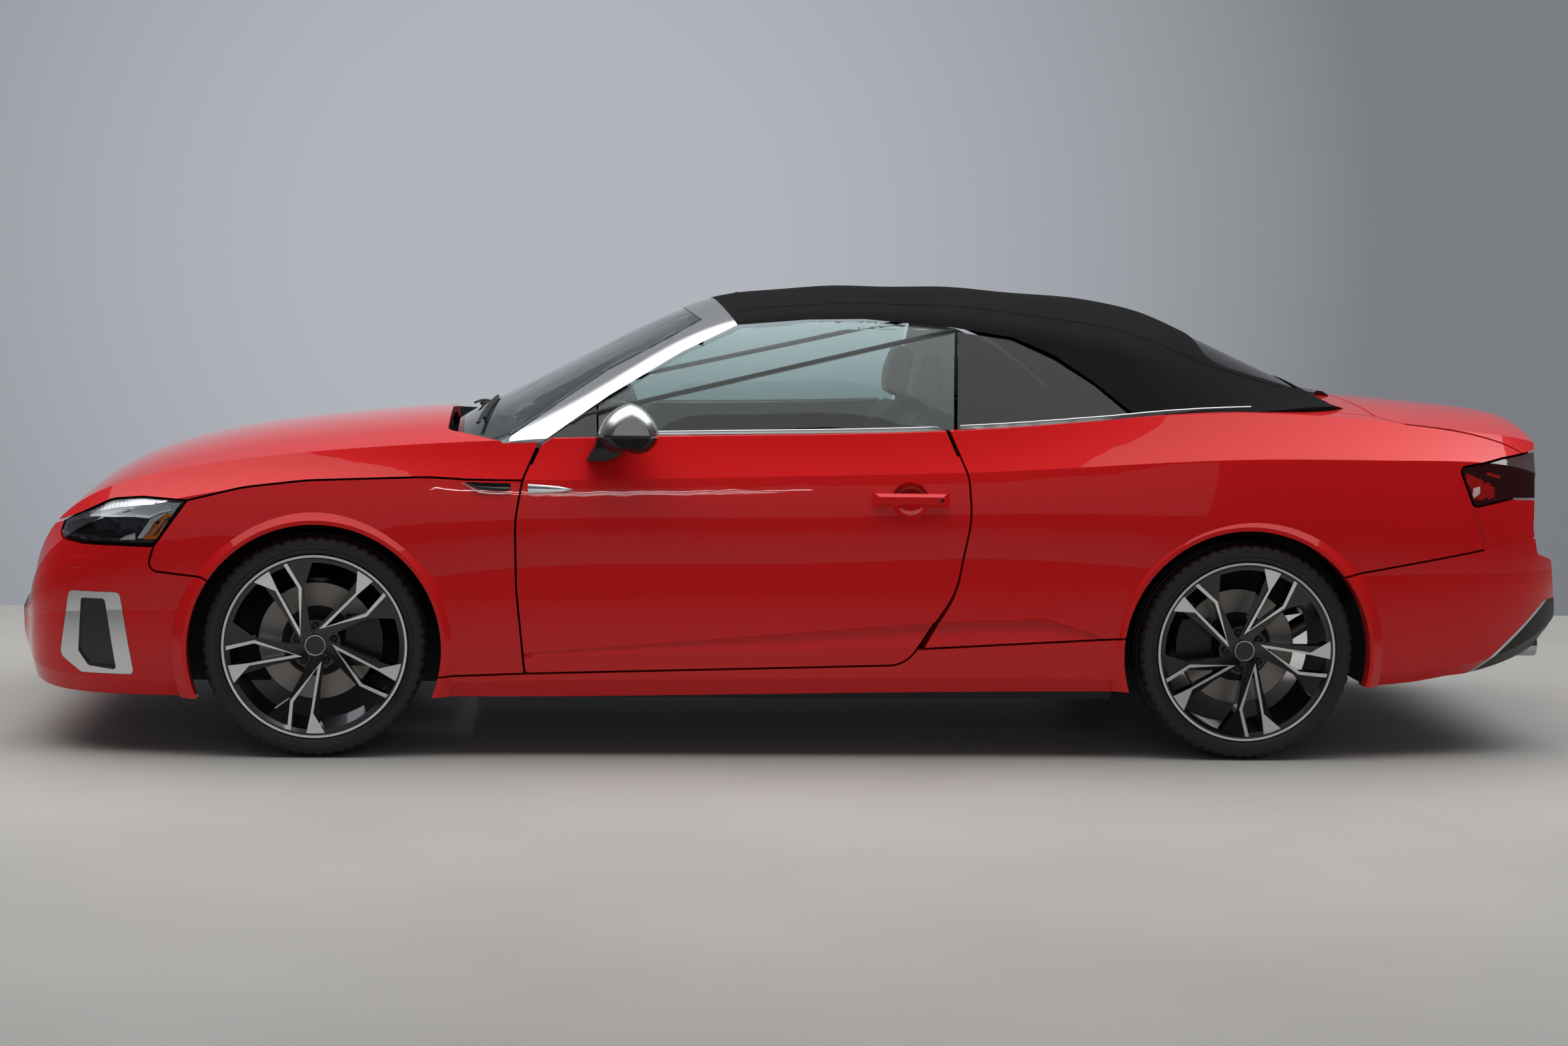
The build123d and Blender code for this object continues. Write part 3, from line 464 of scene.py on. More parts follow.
def tailpipe_steel():
    """Bright tips, and a duller pipe and box ahead of them."""
    m = Material("tailpipe_steel", (0.5, 0.5, 0.5), 0.25, metallic=1.0)
    place = m.place()
    bright = place.part("X") < -2.17
    heat = m.noise(9.0)
    m.set("Base Color", m.mix(bright, m.mix(heat, (0.16, 0.15, 0.14), (0.27, 0.24, 0.21)),
                              (0.50, 0.50, 0.51)))
    m.set("Roughness", heat * 0.3 + 0.3 - bright * 0.2)
    return m.data


def diffuser_trim():
    """Black plastic, with a satin silver blade along its lower rear edge."""
    m = Material("diffuser_trim", (0.02, 0.02, 0.02), 0.4)
    place = m.place()
    x, y, z = place.part("X"), place.part("Y").size(), place.part("Z")
    line = z + (x + 2.027) * 0.82
    blade = (line > 0.243) * (line < 0.30) * (y > 0.60)
    m.set("Base Color", m.mix(blade, (0.012, 0.012, 0.013), (0.66, 0.67, 0.68)))
    m.set("Metallic", blade)
    m.set("Roughness", 0.5 - blade * 0.2)
    return m.data


print("cloth, leather and two-tone finishes ready")

# %% Give every node its finish
PAINT = red_paint()
SILVER = uneven("satin_silver", (0.72, 0.73, 0.74), 60.0, 0.08, 0.26, metallic=1.0)
GLOSS = uneven("gloss_black", (0.008, 0.008, 0.009), 30.0, 0.08, 0.08, coat_weight=0.6)
COVER = uneven("clear_cover", (0.92, 0.94, 0.96), 40.0, 0.02, 0.0,
               transmission_weight=1.0, ior=1.4)
MATT = matt_black()
CAST = cast_metal()
RUBBER = tyre_rubber()
CLOTH = roof_cloth()
LEATHER = seat_leather()
QUILT = seat_leather("quilted_leather", quilted=True)
AMBER = amber_lens()
# Painted light on the glass: the first colour is painted shade near the belt, the second a
# painted reflection under the roof.
DOOR_GLASS = tinted_glass_painted_reflection("door_glass", (0.34, 0.47, 0.46), (0.84, 0.96, 0.94))
SCREEN_GLASS = tinted_glass_painted_reflection("screen_glass", (0.70, 0.78, 0.77), (0.76, 0.84, 0.83))
DARK_GLASS = tinted_glass_painted_reflection("dark_glass", (0.006, 0.007, 0.006), (0.05, 0.06, 0.06), 1.0, 1.25)
GEAR = {axle: running_gear(axle) for axle in AXLE_X}

FINISH = {
    PAINT: ["front_wings", "side_sills", "rear_quarters", "rear_bumper", "front_bumper",
            "deck_cover", "bonnet", "boot_lid", "door_left", "door_right"],
    SILVER: ["windscreen_frame", "intake_trims"],
    mirror_housing(): ["mirror_left", "mirror_right"],
    MATT: ["underbody", "boot_tub", "dashboard", "front_subframe"],
    diffuser_trim(): ["diffuser"],
    GLOSS: ["grille"],
    CAST: ["engine_block", "front_upper_arms"],
    GEAR["front"]: ["upright_left", "upright_right"],
    GEAR["rear"]: ["rear_subframe"],
    tailpipe_steel(): ["exhaust"],
    SCREEN_GLASS: ["windscreen"],
    DOOR_GLASS: ["door_glass_left", "door_glass_right"],
    DARK_GLASS: ["quarter_windows", "rear_window"],
    COVER: ["headlamps"],
    headlamp_inside(): ["headlamp_units"],
    tail_lamp(): ["tail_lamps", "boot_lid_lamps"],
    RUBBER: [f"tyre_{c}" for c in CORNERS],
    CLOTH: ["soft_top"],
    LEATHER: ["front_seats", "rear_seat", "steering_wheel"],
}
for axle in AXLE_X:
    FINISH[turned_wheel(axle)] = [f"wheel_{axle}_{side}" for side in SIGN]
    FINISH[brake_iron(axle)] = [f"brake_disc_{axle}_{side}" for side in SIGN]
for material, names in FINISH.items():
    for name in names:
        NODES[name].data.materials.clear()
        NODES[name].data.materials.append(material)
left_bare = sorted(set(NODES) - {n for names in FINISH.values() for n in names})
print("nodes without a finish:", left_bare)

# %% [markdown]
# ## Helpers for pieces
#
# Small trims follow the curved body. A ray that is shot at a CAD node tells where
# its skin is, so a strip can be laid on it without measuring by hand.

# %% Finding the skin of the car
def skin_of(*names):
    """A search tree over the skin of some nodes."""
    mesh = bmesh.new()
    for name in names:
        mesh.from_mesh(NODES[name].data)
    tree = BVHTree.FromBMesh(mesh)
    mesh.free()
    return tree


def from_side(tree, x, z, side):
    """The first point of the skin on a line that points at the car from one side."""
    place, normal, _, _ = tree.ray_cast(Vector((x, side * 1.5, z)), Vector((0.0, -side, 0.0)))
    return place, normal


def from_above(tree, x, y):
    place, normal, _, _ = tree.ray_cast(Vector((x, y, 2.0)), Vector((0.0, 0.0, -1.0)))
    return place, normal


print("rays ready")

# %% Making a piece
def make_piece(name, corners, faces, material, body, crease=40.0):
    """A mesh piece with even outward normals, which rides on one body."""
    data = bpy.data.meshes.new(name)
    data.from_pydata([tuple(c) for c in corners], [], faces)
    mesh = bmesh.new()
    mesh.from_mesh(data)
    bmesh.ops.remove_doubles(mesh, verts=mesh.verts, dist=1e-6)
    bmesh.ops.recalc_face_normals(mesh, faces=mesh.faces)
    for face in mesh.faces:
        face.smooth = True
    mesh.to_mesh(data)
    mesh.free()
    data.set_sharp_from_angle(angle=math.radians(crease))
    data.materials.append(material)
    piece = add_object(name, data)
    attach(piece, body)
    return piece


def grid_faces(rows, count, ring=True, loop=False):
    """Four-cornered faces between rows of points. A ring meets its own first point."""
    faces = []
    for i in range(rows if loop else rows - 1):
        for k in range(count if ring else count - 1):
            j, m = (i + 1) % rows, (k + 1) % count
            faces.append((i * count + k, i * count + m, j * count + m, j * count + k))
    return faces


def lids(rows, count):
    """A face over the first ring and one over the last."""
    return [tuple(range(count)), tuple(range((rows - 1) * count, rows * count))]


def swept(name, frames, section, material, body):
    """A bar: one small closed outline at each frame of place, across, up and scale."""
    corners, count = [], len(section)
    for place, across, up, scale in frames:
        corners += [place + across * (u * scale) + up * (v * scale) for u, v in section]
    faces = grid_faces(len(frames), count) + lids(len(frames), count)
    return make_piece(name, corners, faces, material, body)


SUNK_EDGE = -0.0012


def laid_plate(name, tree, stations, side, lift, material, body, steps=4):
    """A thin plate that hugs one side: stations are x, lowest z and highest z."""
    corners = []
    rise = [SUNK_EDGE] + [lift] * (steps - 1) + [SUNK_EDGE]
    for x, low, high in stations:
        for k in range(steps + 1):
            z = low + (high - low) * k / steps
            place, _ = from_side(tree, x, z, side)
            if place is None:
                continue
            at_end = x in (stations[0][0], stations[-1][0])
            out = SUNK_EDGE if at_end else rise[k]
            corners.append(place + Vector((0.0, side * out, 0.0)))
    faces = grid_faces(len(corners) // (steps + 1), steps + 1, ring=False)
    return make_piece(name, corners, faces, material, body)


def way(places, i):
    """From the place before one to the place after it."""
    return places[min(i + 1, len(places) - 1)] - places[max(i - 1, 0)]


def along(points, steps):
    """Points at even parts of each run of a line, ends included."""
    result = []
    for first, second in zip(points, points[1:]):
        result += [tuple(a + (b - a) * k / steps for a, b in zip(first, second))
                   for k in range(steps)]
    return result + [tuple(points[-1])]


print("piece helpers ready")

# %% [markdown]
# ## Tyres
#
# A tyre is a ring of one profile, built in 360 narrow slices. Every few slices the
# shoulder sinks in, which makes the cross grooves, and four rings of points lie deep
# in the tread, which makes the long grooves.

# %% Tyres
TYRE_SIDE = [
    (0.2570, 0.1120), (0.2700, 0.1125), (0.2716, 0.1180), (0.2752, 0.1222),
    (0.2786, 0.1236), (0.2800, 0.1262), (0.2850, 0.1286), (0.2868, 0.1278),
    (0.2890, 0.1298), (0.2950, 0.1308), (0.3010, 0.1304), (0.3060, 0.1288),
    (0.3072, 0.1272), (0.3110, 0.1262), (0.3150, 0.1238), (0.3188, 0.1196),
    (0.3222, 0.1130), (0.3246, 0.1040), (0.3258, 0.0930), (0.3262, 0.0815),
    (0.3180, 0.0795), (0.3180, 0.0705), (0.3264, 0.0685), (0.3268, 0.0420),
    (0.3184, 0.0400), (0.3184, 0.0310), (0.3270, 0.0290), (0.3270, 0.0000)]
SHOULDER = range(14, 19)
SLICES = 360
GROOVE_EVERY, GROOVE_DEPTH = 6, 0.0035


def tyre_mesh(corner):
    axle, side = corner.split("_")
    sign = SIGN[side]
    profile = TYRE_SIDE + [(r, -y) for r, y in reversed(TYRE_SIDE[:-1])]
    count = len(profile)
    corners = []
    for i in range(SLICES):
        angle = 2.0 * math.pi * i / SLICES
        grooved = i % GROOVE_EVERY in (0, 1)
        for k, (radius, y) in enumerate(profile):
            near = k if k < len(TYRE_SIDE) else count - 1 - k
            if grooved and near in SHOULDER:
                radius -= GROOVE_DEPTH
                y *= 0.99
            corners.append((AXLE_X[axle] + radius * math.sin(angle),
                            sign * WHEEL_Y + y, AXLE_Z - radius * math.cos(angle)))
    return corners, grid_faces(SLICES, count, loop=True)


for corner in CORNERS:
    tyre = make_piece(f"tread_tyre_{corner}", *tyre_mesh(corner), RUBBER,
                      BODY_OF[f"tyre_{corner}"], crease=28.0)
    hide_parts(f"tyre_{corner}")
print("tyre faces:", len(tyre.data.polygons))

# %% [markdown]
# ## Wheel bolts and centre rings
#
# Five hexagon heads sit in the hub's recesses, half way between the spokes, and a
# thin bright ring frames the bare centre cap. All of them turn with their wheel.

# %% Bolts and rings
BOLT_CIRCLE = 0.056
WHEEL_TURN = {"front": 0.0, "rear": 18.7}


def disc_rows(centre, sign, rows, sides, phase=0.0):
    """Stacked rings of points round an axle: rows are radius and distance outboard."""
    corners = []
    for radius, out in rows:
        for k in range(sides):
            a = 2.0 * math.pi * k / sides + phase
            corners.append((centre[0] + radius * math.cos(a), sign * (WHEEL_Y + out),
                            centre[1] + radius * math.sin(a)))
    return corners, grid_faces(len(rows), sides)


def joined(*parts):
    corners, faces = [], []
    for some, some_faces in parts:
        faces += [tuple(i + len(corners) for i in face) for face in some_faces]
        corners += some
    return corners, faces


def closed(rows_mesh, sides):
    """Adds a lid over the last ring and one under the first."""
    corners, faces = rows_mesh
    return corners, faces + lids(len(corners) // sides, sides)


BOLT_HEAD = [(0.0115, 0.060), (0.0115, 0.0665), (0.0086, 0.0672), (0.0086, 0.0760),
             (0.0074, 0.0776)]
RING = [(0.0276, 0.0885), (0.0280, 0.0902), (0.0300, 0.0906), (0.0309, 0.0896),
        (0.0311, 0.0850)]
for corner in CORNERS:
    axle, side = corner.split("_")
    sign = SIGN[side]
    heads = []
    for k in range(5):
        angle = math.radians(WHEEL_TURN[axle] + 72.0 * k + 36.0)
        centre = (AXLE_X[axle] - BOLT_CIRCLE * math.sin(angle),
                  AXLE_Z - BOLT_CIRCLE * math.cos(angle))
        heads.append(closed(disc_rows(centre, sign, BOLT_HEAD, 6, angle), 6))
    body = BODY_OF[f"wheel_{corner}"]
    make_piece(f"wheel_bolts_{corner}", *joined(*heads), MATT, body, crease=25.0)
    ring = disc_rows((AXLE_X[axle], AXLE_Z), sign, RING, 48)
    make_piece(f"cap_ring_{corner}", *ring, SILVER, body)
print("bolts and rings on", len(CORNERS), "wheels")

# %% [markdown]
# ## Soft top
#
# The cloth is stretched over bows, so it sinks a little between them. The CAD solid
# gives its outline, and it is sliced into a fine grid first, because only a mesh
# with points in its middle can be bent.

# %% Soft top
BOWS = (0.22, -0.13, -0.50, -0.88, -1.16)
SAG_DEPTH, SAG_HALF_WIDTH = 0.0045, 0.60


def sliced(data, spacing):
    """A copy of a mesh with extra cuts along and across the car."""
    mesh = bmesh.new()
    mesh.from_mesh(data)
    xs = [v.co.x for v in mesh.verts]
    ys = [v.co.y for v in mesh.verts]
    for axis, low, high in ((0, min(xs), max(xs)), (1, min(ys), max(ys))):
        normal = Vector((1.0 - axis, axis, 0.0))
        for k in range(1, int((high - low) / spacing)):
            everything = mesh.verts[:] + mesh.edges[:] + mesh.faces[:]
            bmesh.ops.bisect_plane(mesh, geom=everything, dist=1e-5,
                                   plane_co=normal * (low + k * spacing), plane_no=normal)
    return mesh


def sag(x, y):
    """How far the cloth sinks between the two bows next to x."""
    for front, back in zip(BOWS, BOWS[1:]):
        if back <= x <= front:
            part = (front - x) / (front - back)
            middle = max(0.0, 1.0 - (abs(y) / SAG_HALF_WIDTH) ** 4)
            return SAG_DEPTH * math.sin(math.pi * part) ** 2 * middle
    return 0.0


mesh = sliced(NODES["soft_top"].data, 0.03)
mesh.normal_update()
moved = 0
for vertex in mesh.verts:
    if vertex.normal.z > 0.25 and vertex.co.z > 1.1:
        vertex.co.z -= sag(vertex.co.x, vertex.co.y)
        moved += 1
for face in mesh.faces:
    face.smooth = True
cloth_data = bpy.data.meshes.new("soft_top_cloth")
mesh.to_mesh(cloth_data)
mesh.free()
cloth_data.set_sharp_from_angle(angle=math.radians(38.0))
cloth_data.materials.clear()
cloth_data.materials.append(CLOTH)
cloth = add_object("soft_top_cloth", cloth_data)
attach(cloth, "body")
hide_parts("soft_top")
print("cloth faces:", len(cloth_data.polygons), "moved:", moved)

# %% Seams of the soft top
cloth_skin = BVHTree.FromObject(cloth, bpy.context.evaluated_depsgraph_get())
WELT = [(-0.007, -0.002), (-0.006, 0.0010), (-0.0015, 0.0016), (0.0, 0.0006),
        (0.0015, 0.0016), (0.006, 0.0010), (0.007, -0.002)]


def seam(name, points, across):
    """A double-stitched seam laid on the roof along plan points."""
    frames = []
    for x, y in points:
        place, normal = from_above(cloth_skin, x, y)
        if place is not None:
            side = (across - normal * across.dot(normal)).normalized()
            frames.append((place, side, normal, 1.0))
    swept(name, frames, WELT, CLOTH, "body")


for side_name, side in SIDES:
    line = along([(0.20, 0.46), (-0.45, 0.455), (-0.95, 0.47), (-1.24, 0.505),
                  (-1.50, 0.46)], 10)
    seam(f"roof_seam_{side_name}", [(x, side * y) for x, y in line], Vector((0, 1, 0)))
seam("header_seam", [(0.175, y) for (y,) in along([(-0.50,), (0.50,)], 24)],
     Vector((1, 0, 0)))
print("roof seams ready")

# %% [markdown]
# ## Belt moulding
#
# A bright strip runs along the top of each door and on round the soft top's foot.
# One ray from the side finds the glass or cloth, and one from above finds the ledge
# that the strip stands on. The door's part rides on the door.

# %% Belt moulding
STRIP = [(-0.006, -0.004), (-0.006, 0.004), (-0.0035, 0.0115), (0.0005, 0.0130),
         (0.0045, 0.0110), (0.0060, 0.0060), (0.0065, -0.004)]
DOOR_BELT = (0.742, 0.30, -0.10, -0.408)
REAR_BELT = (-0.424, -0.60, -0.80, -1.00, -1.20, -1.34, -1.43)


def belt_frames(xs, side, wall, ledge, wall_height):
    """Frames for a strip that stands on a ledge, just outside a wall."""
    places = []
    for x, in along([(x,) for x in xs], 9):
        beside, _ = from_side(wall, x, wall_height(x), side)
        if beside is None:
            continue
        for step in range(14):
            on, _ = from_above(ledge, x, beside.y + side * (0.009 + 0.003 * step))
            if on is not None and on.z > 0.9:
                places.append(on)
                break
    frames = []
    for i, place in enumerate(places):
        ahead = way(places, i)
        outward = Vector((ahead.y, -ahead.x, 0.0)).normalized()
        outward *= math.copysign(1.0, outward.y * side)
        frames.append((place, outward, Vector((0.0, 0.0, 1.0)), 1.0))
    return frames


cloth_side = skin_of("soft_top", "quarter_windows", "rear_window")
for side_name, side in SIDES:
    door = f"door_{side_name}"
    frames = belt_frames(DOOR_BELT, side, skin_of(f"door_glass_{side_name}"),
                         skin_of(door), lambda x: 0.985 - 0.02 * x)
    swept(f"belt_door_{side_name}", frames, STRIP, SILVER, BODY_OF[door])
    frames = belt_frames(REAR_BELT, side, cloth_side, skin_of("rear_quarters"),
                         lambda x: 1.013 - 0.058 * (x + 0.42))
    swept(f"belt_rear_{side_name}", frames, STRIP, SILVER, "body")
print("belt strip points:", len(frames))

# %% [markdown]
# ## Wing blades
#
# A slim blade crosses the gap between wing and door: a black inset with a bright
# lower lip on the wing, and a bright tail on the door. Each half hugs its panel.

# %% Wing blades
BLADE_BLACK = [(1.030, 0.8120, 0.8138), (1.005, 0.7990, 0.8138), (0.980, 0.7865, 0.8136),
               (0.955, 0.7840, 0.8134), (0.930, 0.7830, 0.8132), (0.905, 0.7830, 0.8130),
               (0.881, 0.7830, 0.8128)]
BLADE_LIP = [(1.040, 0.8115, 0.8138), (1.005, 0.7930, 0.7995), (0.982, 0.7805, 0.7870),
             (0.955, 0.7780, 0.7838), (0.930, 0.7775, 0.7830), (0.905, 0.7775, 0.7830),
             (0.883, 0.7775, 0.7830)]
BLADE_DOOR = [(0.866, 0.7780, 0.8105), (0.840, 0.7790, 0.8095), (0.810, 0.7800, 0.8080),
              (0.780, 0.7812, 0.8060), (0.750, 0.7825, 0.8035), (0.725, 0.7860, 0.7985),
              (0.703, 0.7925, 0.7940)]
wing_skin = skin_of("front_wings")
for side_name, side in SIDES:
    door = f"door_{side_name}"
    laid_plate(f"blade_inset_{side_name}", wing_skin, BLADE_BLACK, side, 0.002, GLOSS, "body")
    laid_plate(f"blade_lip_{side_name}", wing_skin, BLADE_LIP, side, 0.0045, SILVER, "body")
    laid_plate(f"blade_tail_{side_name}", skin_of(door), BLADE_DOOR, side, 0.0045, SILVER,
               BODY_OF[door])
print("blades ready")

# %% [markdown]
# ## Window seals
#
# Black rubber closes the gap between the door glass and the frame above it. It is
# a soft bead along the edge of the bright pillar and the cloth.

# %% Window seals
SEAL_LINE = [(0.790, 0.929), (0.600, 1.055), (0.383, 1.1865), (0.214, 1.266),
             (0.000, 1.286), (-0.174, 1.2905), (-0.300, 1.284), (-0.446, 1.2675)]
BEAD = [(-0.009, -0.007), (0.001, -0.0085), (0.0035, -0.004), (0.0042, 0.002),
        (0.001, 0.0075), (-0.009, 0.0065)]
REAR_SEAL = [(-0.446, 1.2675), (-0.624, 1.242), (-0.745, 1.191), (-0.861, 1.1155),
             (-0.990, 1.006)]
wall = skin_of("windscreen_frame", "soft_top", "door_glass_left", "door_glass_right",
               "quarter_windows", "mirror_left", "mirror_right")


def bead_frames(line, side):
    frames = []
    for x, z in along(line, 5):
        place, normal = from_side(wall, x, z, side)
        if place is not None:
            away = Vector((0.0, side, 0.35)).normalized()
            frames.append((place, away, Vector((0.0, -0.35 * side, 1.0)).normalized(), 1.0))
    return frames


for side_name, side in SIDES:
    swept(f"door_seal_{side_name}", bead_frames(SEAL_LINE, side), BEAD, MATT, "body")
    swept(f"rear_seal_{side_name}", bead_frames(REAR_SEAL, side), BEAD, MATT, "body")
print("seals ready")

# %% [markdown]
# ## Wheel arch liners
#
# A plastic liner closes the space round each rear wheel. It is a sheet bent round
# the axle, with its ends near the ground.

# %% Wheel arch liners
LINER_RADIUS = 0.3855
LINER_INNER_Y, LINER_OUTER_Y = 0.640, 0.862
LINER_FOOT_Z = 0.225
ARCH_Z = 0.318


def liner(side):
    radius, inner, outer = LINER_RADIUS, LINER_INNER_Y, LINER_OUTER_Y
    start = math.asin((ARCH_Z - LINER_FOOT_Z) / radius)
    corners, steps = [], 40
    for i in range(steps + 1):
        angle = -start + (math.pi + 2.0 * start) * i / steps
        rows = [(radius, inner), (radius, outer - 0.03), (radius, outer),
                (radius - 0.003, outer), (radius - 0.003, inner)]
        for r, y in rows:
            corners.append((AXLE_X["rear"] + r * math.cos(angle), side * y,
                            ARCH_Z + r * math.sin(angle)))
    return corners, grid_faces(steps + 1, len(rows)) + lids(steps + 1, len(rows))


for side_name, side in SIDES:
    make_piece(f"arch_liner_rear_{side_name}", *liner(side), MATT, "body")
print("liners ready")

# %% [markdown]
# ## Wipers
#
# Two wipers rest at the foot of the screen. An arm is one thin bar that lifts off
# the glass in its middle, and its blade is a rubber strip that follows the glass.

# %% Wipers
screen_skin = skin_of("windscreen")
ARM = [(-0.007, 0.0), (-0.005, 0.006), (0.005, 0.006), (0.007, 0.0)]
BLADE_EDGE = [(-0.006, 0.0035), (-0.0045, 0.0105), (0.0045, 0.0105), (0.006, 0.0035),
              (0.0015, 0.001), (-0.0015, 0.001)]


def on_screen(points, lifts):
    """Frames along plan points on the screen, each lifted off it."""
    frames = []
    for (x, y), lift in zip(points, lifts):
        place, normal = from_above(screen_skin, x, y)
        if place is None:
            continue
        forward = (Vector((1, 0, 0)) - normal * normal.x).normalized()
        frames.append((place + normal * lift, forward, normal, 1.0))
    return frames


for name, start, end in (("wiper_left", (0.985, 0.56), (0.940, -0.02)),
                         ("wiper_right", (1.005, -0.10), (0.955, -0.64))):
    line = along([start, end], 14)
    rise = [0.016 - 0.012 * k / 14 for k in range(15)]
    swept(f"{name}_arm", on_screen(line, rise), ARM, MATT, "body")
    swept(f"{name}_blade", on_screen(line[3:], [0.0] * 12), BLADE_EDGE, MATT, "body")
print("wipers ready")

# %% [markdown]
# ## Small fittings
#
# A lock, a towing-eye cover and mirror glass are all plates laid on the skin by
# rays, each from the direction in which it is seen.

# %% Locks, covers and mirror glass
def laid_grid(name, tree, origin, direction, first, second, lift, material, body, round_by):
    """A plate laid on the skin along a direction, with a rounded outline."""
    steps = 12
    corners = []
    for i in range(steps + 1):
        for k in range(steps + 1):
            u, v = 2.0 * i / steps - 1.0, 2.0 * k / steps - 1.0
            reach = max(abs(u), abs(v))
            if reach > 0:
                length = (abs(u) ** round_by + abs(v) ** round_by) ** (1.0 / round_by)
                u, v = u * reach / length, v * reach / length
            start = Vector(origin) + first * u + second * v - direction * 0.4
            place, _, _, _ = tree.ray_cast(start, direction)
            if place is None:
                place = start + direction * 0.4
            out = -0.001 if reach > 0.99 else lift
            corners.append(place - direction * out)
    faces = grid_faces(steps + 1, steps + 1, ring=False)
    return make_piece(name, corners, faces, material, body)


MIRROR_FACE = uneven("mirror_face", (0.85, 0.87, 0.88), 20.0, 0.02, 0.02, metallic=1.0)
bumper_skin = skin_of("front_bumper")
for side_name, side in SIDES:
    door = f"door_{side_name}"
    inward = Vector((0.0, -side, 0.0))
    laid_grid(f"door_lock_{side_name}", skin_of(door), (-0.3785, side * 0.91, 0.7745), inward,
              Vector((0.0062, 0, 0)), Vector((0, 0, 0.0062)), 0.0006, GLOSS, BODY_OF[door], 2.0)
    laid_grid(f"mirror_glass_{side_name}", skin_of(f"mirror_{side_name}"),
              (0.47, side * 0.948, 0.985), Vector((1.0, 0.0, 0.0)),
              Vector((0, 0.050, 0)), Vector((0, 0, 0.034)), 0.0008, MIRROR_FACE,
              BODY_OF[door], 3.0)
    laid_grid(f"towing_cover_{side_name}", bumper_skin, (2.146, side * 0.80, 0.562), inward,
              Vector((0.026, 0, 0)), Vector((0, 0, 0.021)), 0.0012, PAINT, "body", 6.0)
print("small fittings ready")

# %% [markdown]
# ## Headlamp inside
#
# Behind the clear cover sit a white light bar, two slanted light guides and the
# amber marker near the wheel. They hang a little inside the cover, which is found
# with rays from the side.

# %% Headlamp inside
lamp_skin = skin_of("headlamps")
WHITE_GUIDE = speckled("white_guide", (0.72, 0.74, 0.77), (0.88, 0.9, 0.92), 0.2, 300.0,
                       coat_weight=0.5)
AMBER_SHAPE = [(1.951, 0.6350, 0.6370), (1.933, 0.6350, 0.6600), (1.913, 0.6365, 0.6860),
               (1.882, 0.6740, 0.7110), (1.865, 0.6990, 0.7170), (1.849, 0.7200, 0.7230)]
GUIDE_SHAPE = [(1.968, 0.637, 0.6400), (1.954, 0.637, 0.6600), (1.933, 0.662, 0.6910),
               (1.918, 0.686, 0.7020), (1.887, 0.709, 0.7110)]
LOWER_GUIDE = [(2.019, 0.6310, 0.6340), (2.000, 0.6320, 0.6440), (1.975, 0.6330, 0.6520)]
BAR_SHAPE = [(2.115, 0.6920, 0.6985), (2.050, 0.6955, 0.7185), (1.980, 0.6980, 0.7290),
             (1.935, 0.6950, 0.7350), (1.905, 0.7100, 0.7345), (1.870, 0.7195, 0.7350),
             (1.840, 0.7350, 0.7415)]


def inside_plate(name, stations, side, depth, material):
    """A plate that follows the lamp cover from inside, some way behind it."""
    plate = laid_plate(name, lamp_skin, stations, side, -depth + 0.0022, material, "body")
    for vertex in plate.data.vertices:
        vertex.co.y -= side * 0.0005
    return plate


for side_name, side in SIDES:
    inside_plate(f"amber_marker_{side_name}", AMBER_SHAPE, side, 0.0115, AMBER)
    inside_plate(f"light_guide_{side_name}", GUIDE_SHAPE, side, 0.0115, WHITE_GUIDE)
    inside_plate(f"lower_guide_{side_name}", LOWER_GUIDE, side, 0.0115, WHITE_GUIDE)
    inside_plate(f"light_bar_{side_name}", BAR_SHAPE, side, 0.0105, WHITE_GUIDE)
print("headlamp plates ready")

# %% [markdown]
# ## Seats
#
# A cushion is foam under leather: a closed form, crowned in its middle, with raised
# bolsters. Each pad is a row of rounded sections along a spine, and the sections
# shrink near both ends.

# %% A padded form
def rounded(angle, power):
    """A point on a rounded square of half size one."""
    c, s = math.cos(angle), math.sin(angle)
    return (math.copysign(abs(c) ** (2.0 / power), c),
            math.copysign(abs(s) ** (2.0 / power), s))


def pad_mesh(spine, centre_y, wells, bolster, power=3.4, rows=22, ring=44):
    """Sections along a spine of x, z, half width and half thickness."""
    stations = along(spine, max(1, rows // (len(spine) - 1)))
    corners = []
    for i, (x, z, width, thick) in enumerate(stations):
        before, after = stations[max(i - 1, 0)], stations[min(i + 1, len(stations) - 1)]
        run = Vector((after[0] - before[0], 0.0, after[1] - before[1])).normalized()
        face_way = Vector((-run.z, 0.0, run.x)) * -1.0
        part = i / (len(stations) - 1)
        end = (1.0 - abs(2.0 * part - 1.0) ** 7) ** 0.5 if 0 < part < 1 else 0.0
        for k in range(ring):
            u, v = rounded(2.0 * math.pi * k / ring, power)
            crown = 1.0 + 0.10 * math.sin(math.pi * part)
            depth = v * thick * (0.35 + 0.65 * end) * crown
            if v > 0:
                hill = abs(math.sin(math.pi * wells * (u + 1.0) / 2.0 + math.pi / 2.0))
                depth += (bolster * hill ** 3 - bolster * 0.45) * v * end
            place = Vector((x, centre_y + u * width * (0.90 + 0.10 * end), z))
            corners.append(place + face_way * depth)
    count = len(stations)
    return corners, grid_faces(count, ring) + lids(count, ring)


def pad(name, nodes, fill, material, *shape, **options):
    piece = make_piece(name, *pad_mesh(*shape, **options), material, "body", crease=60.0)
    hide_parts(*nodes)


print("pad helper ready")

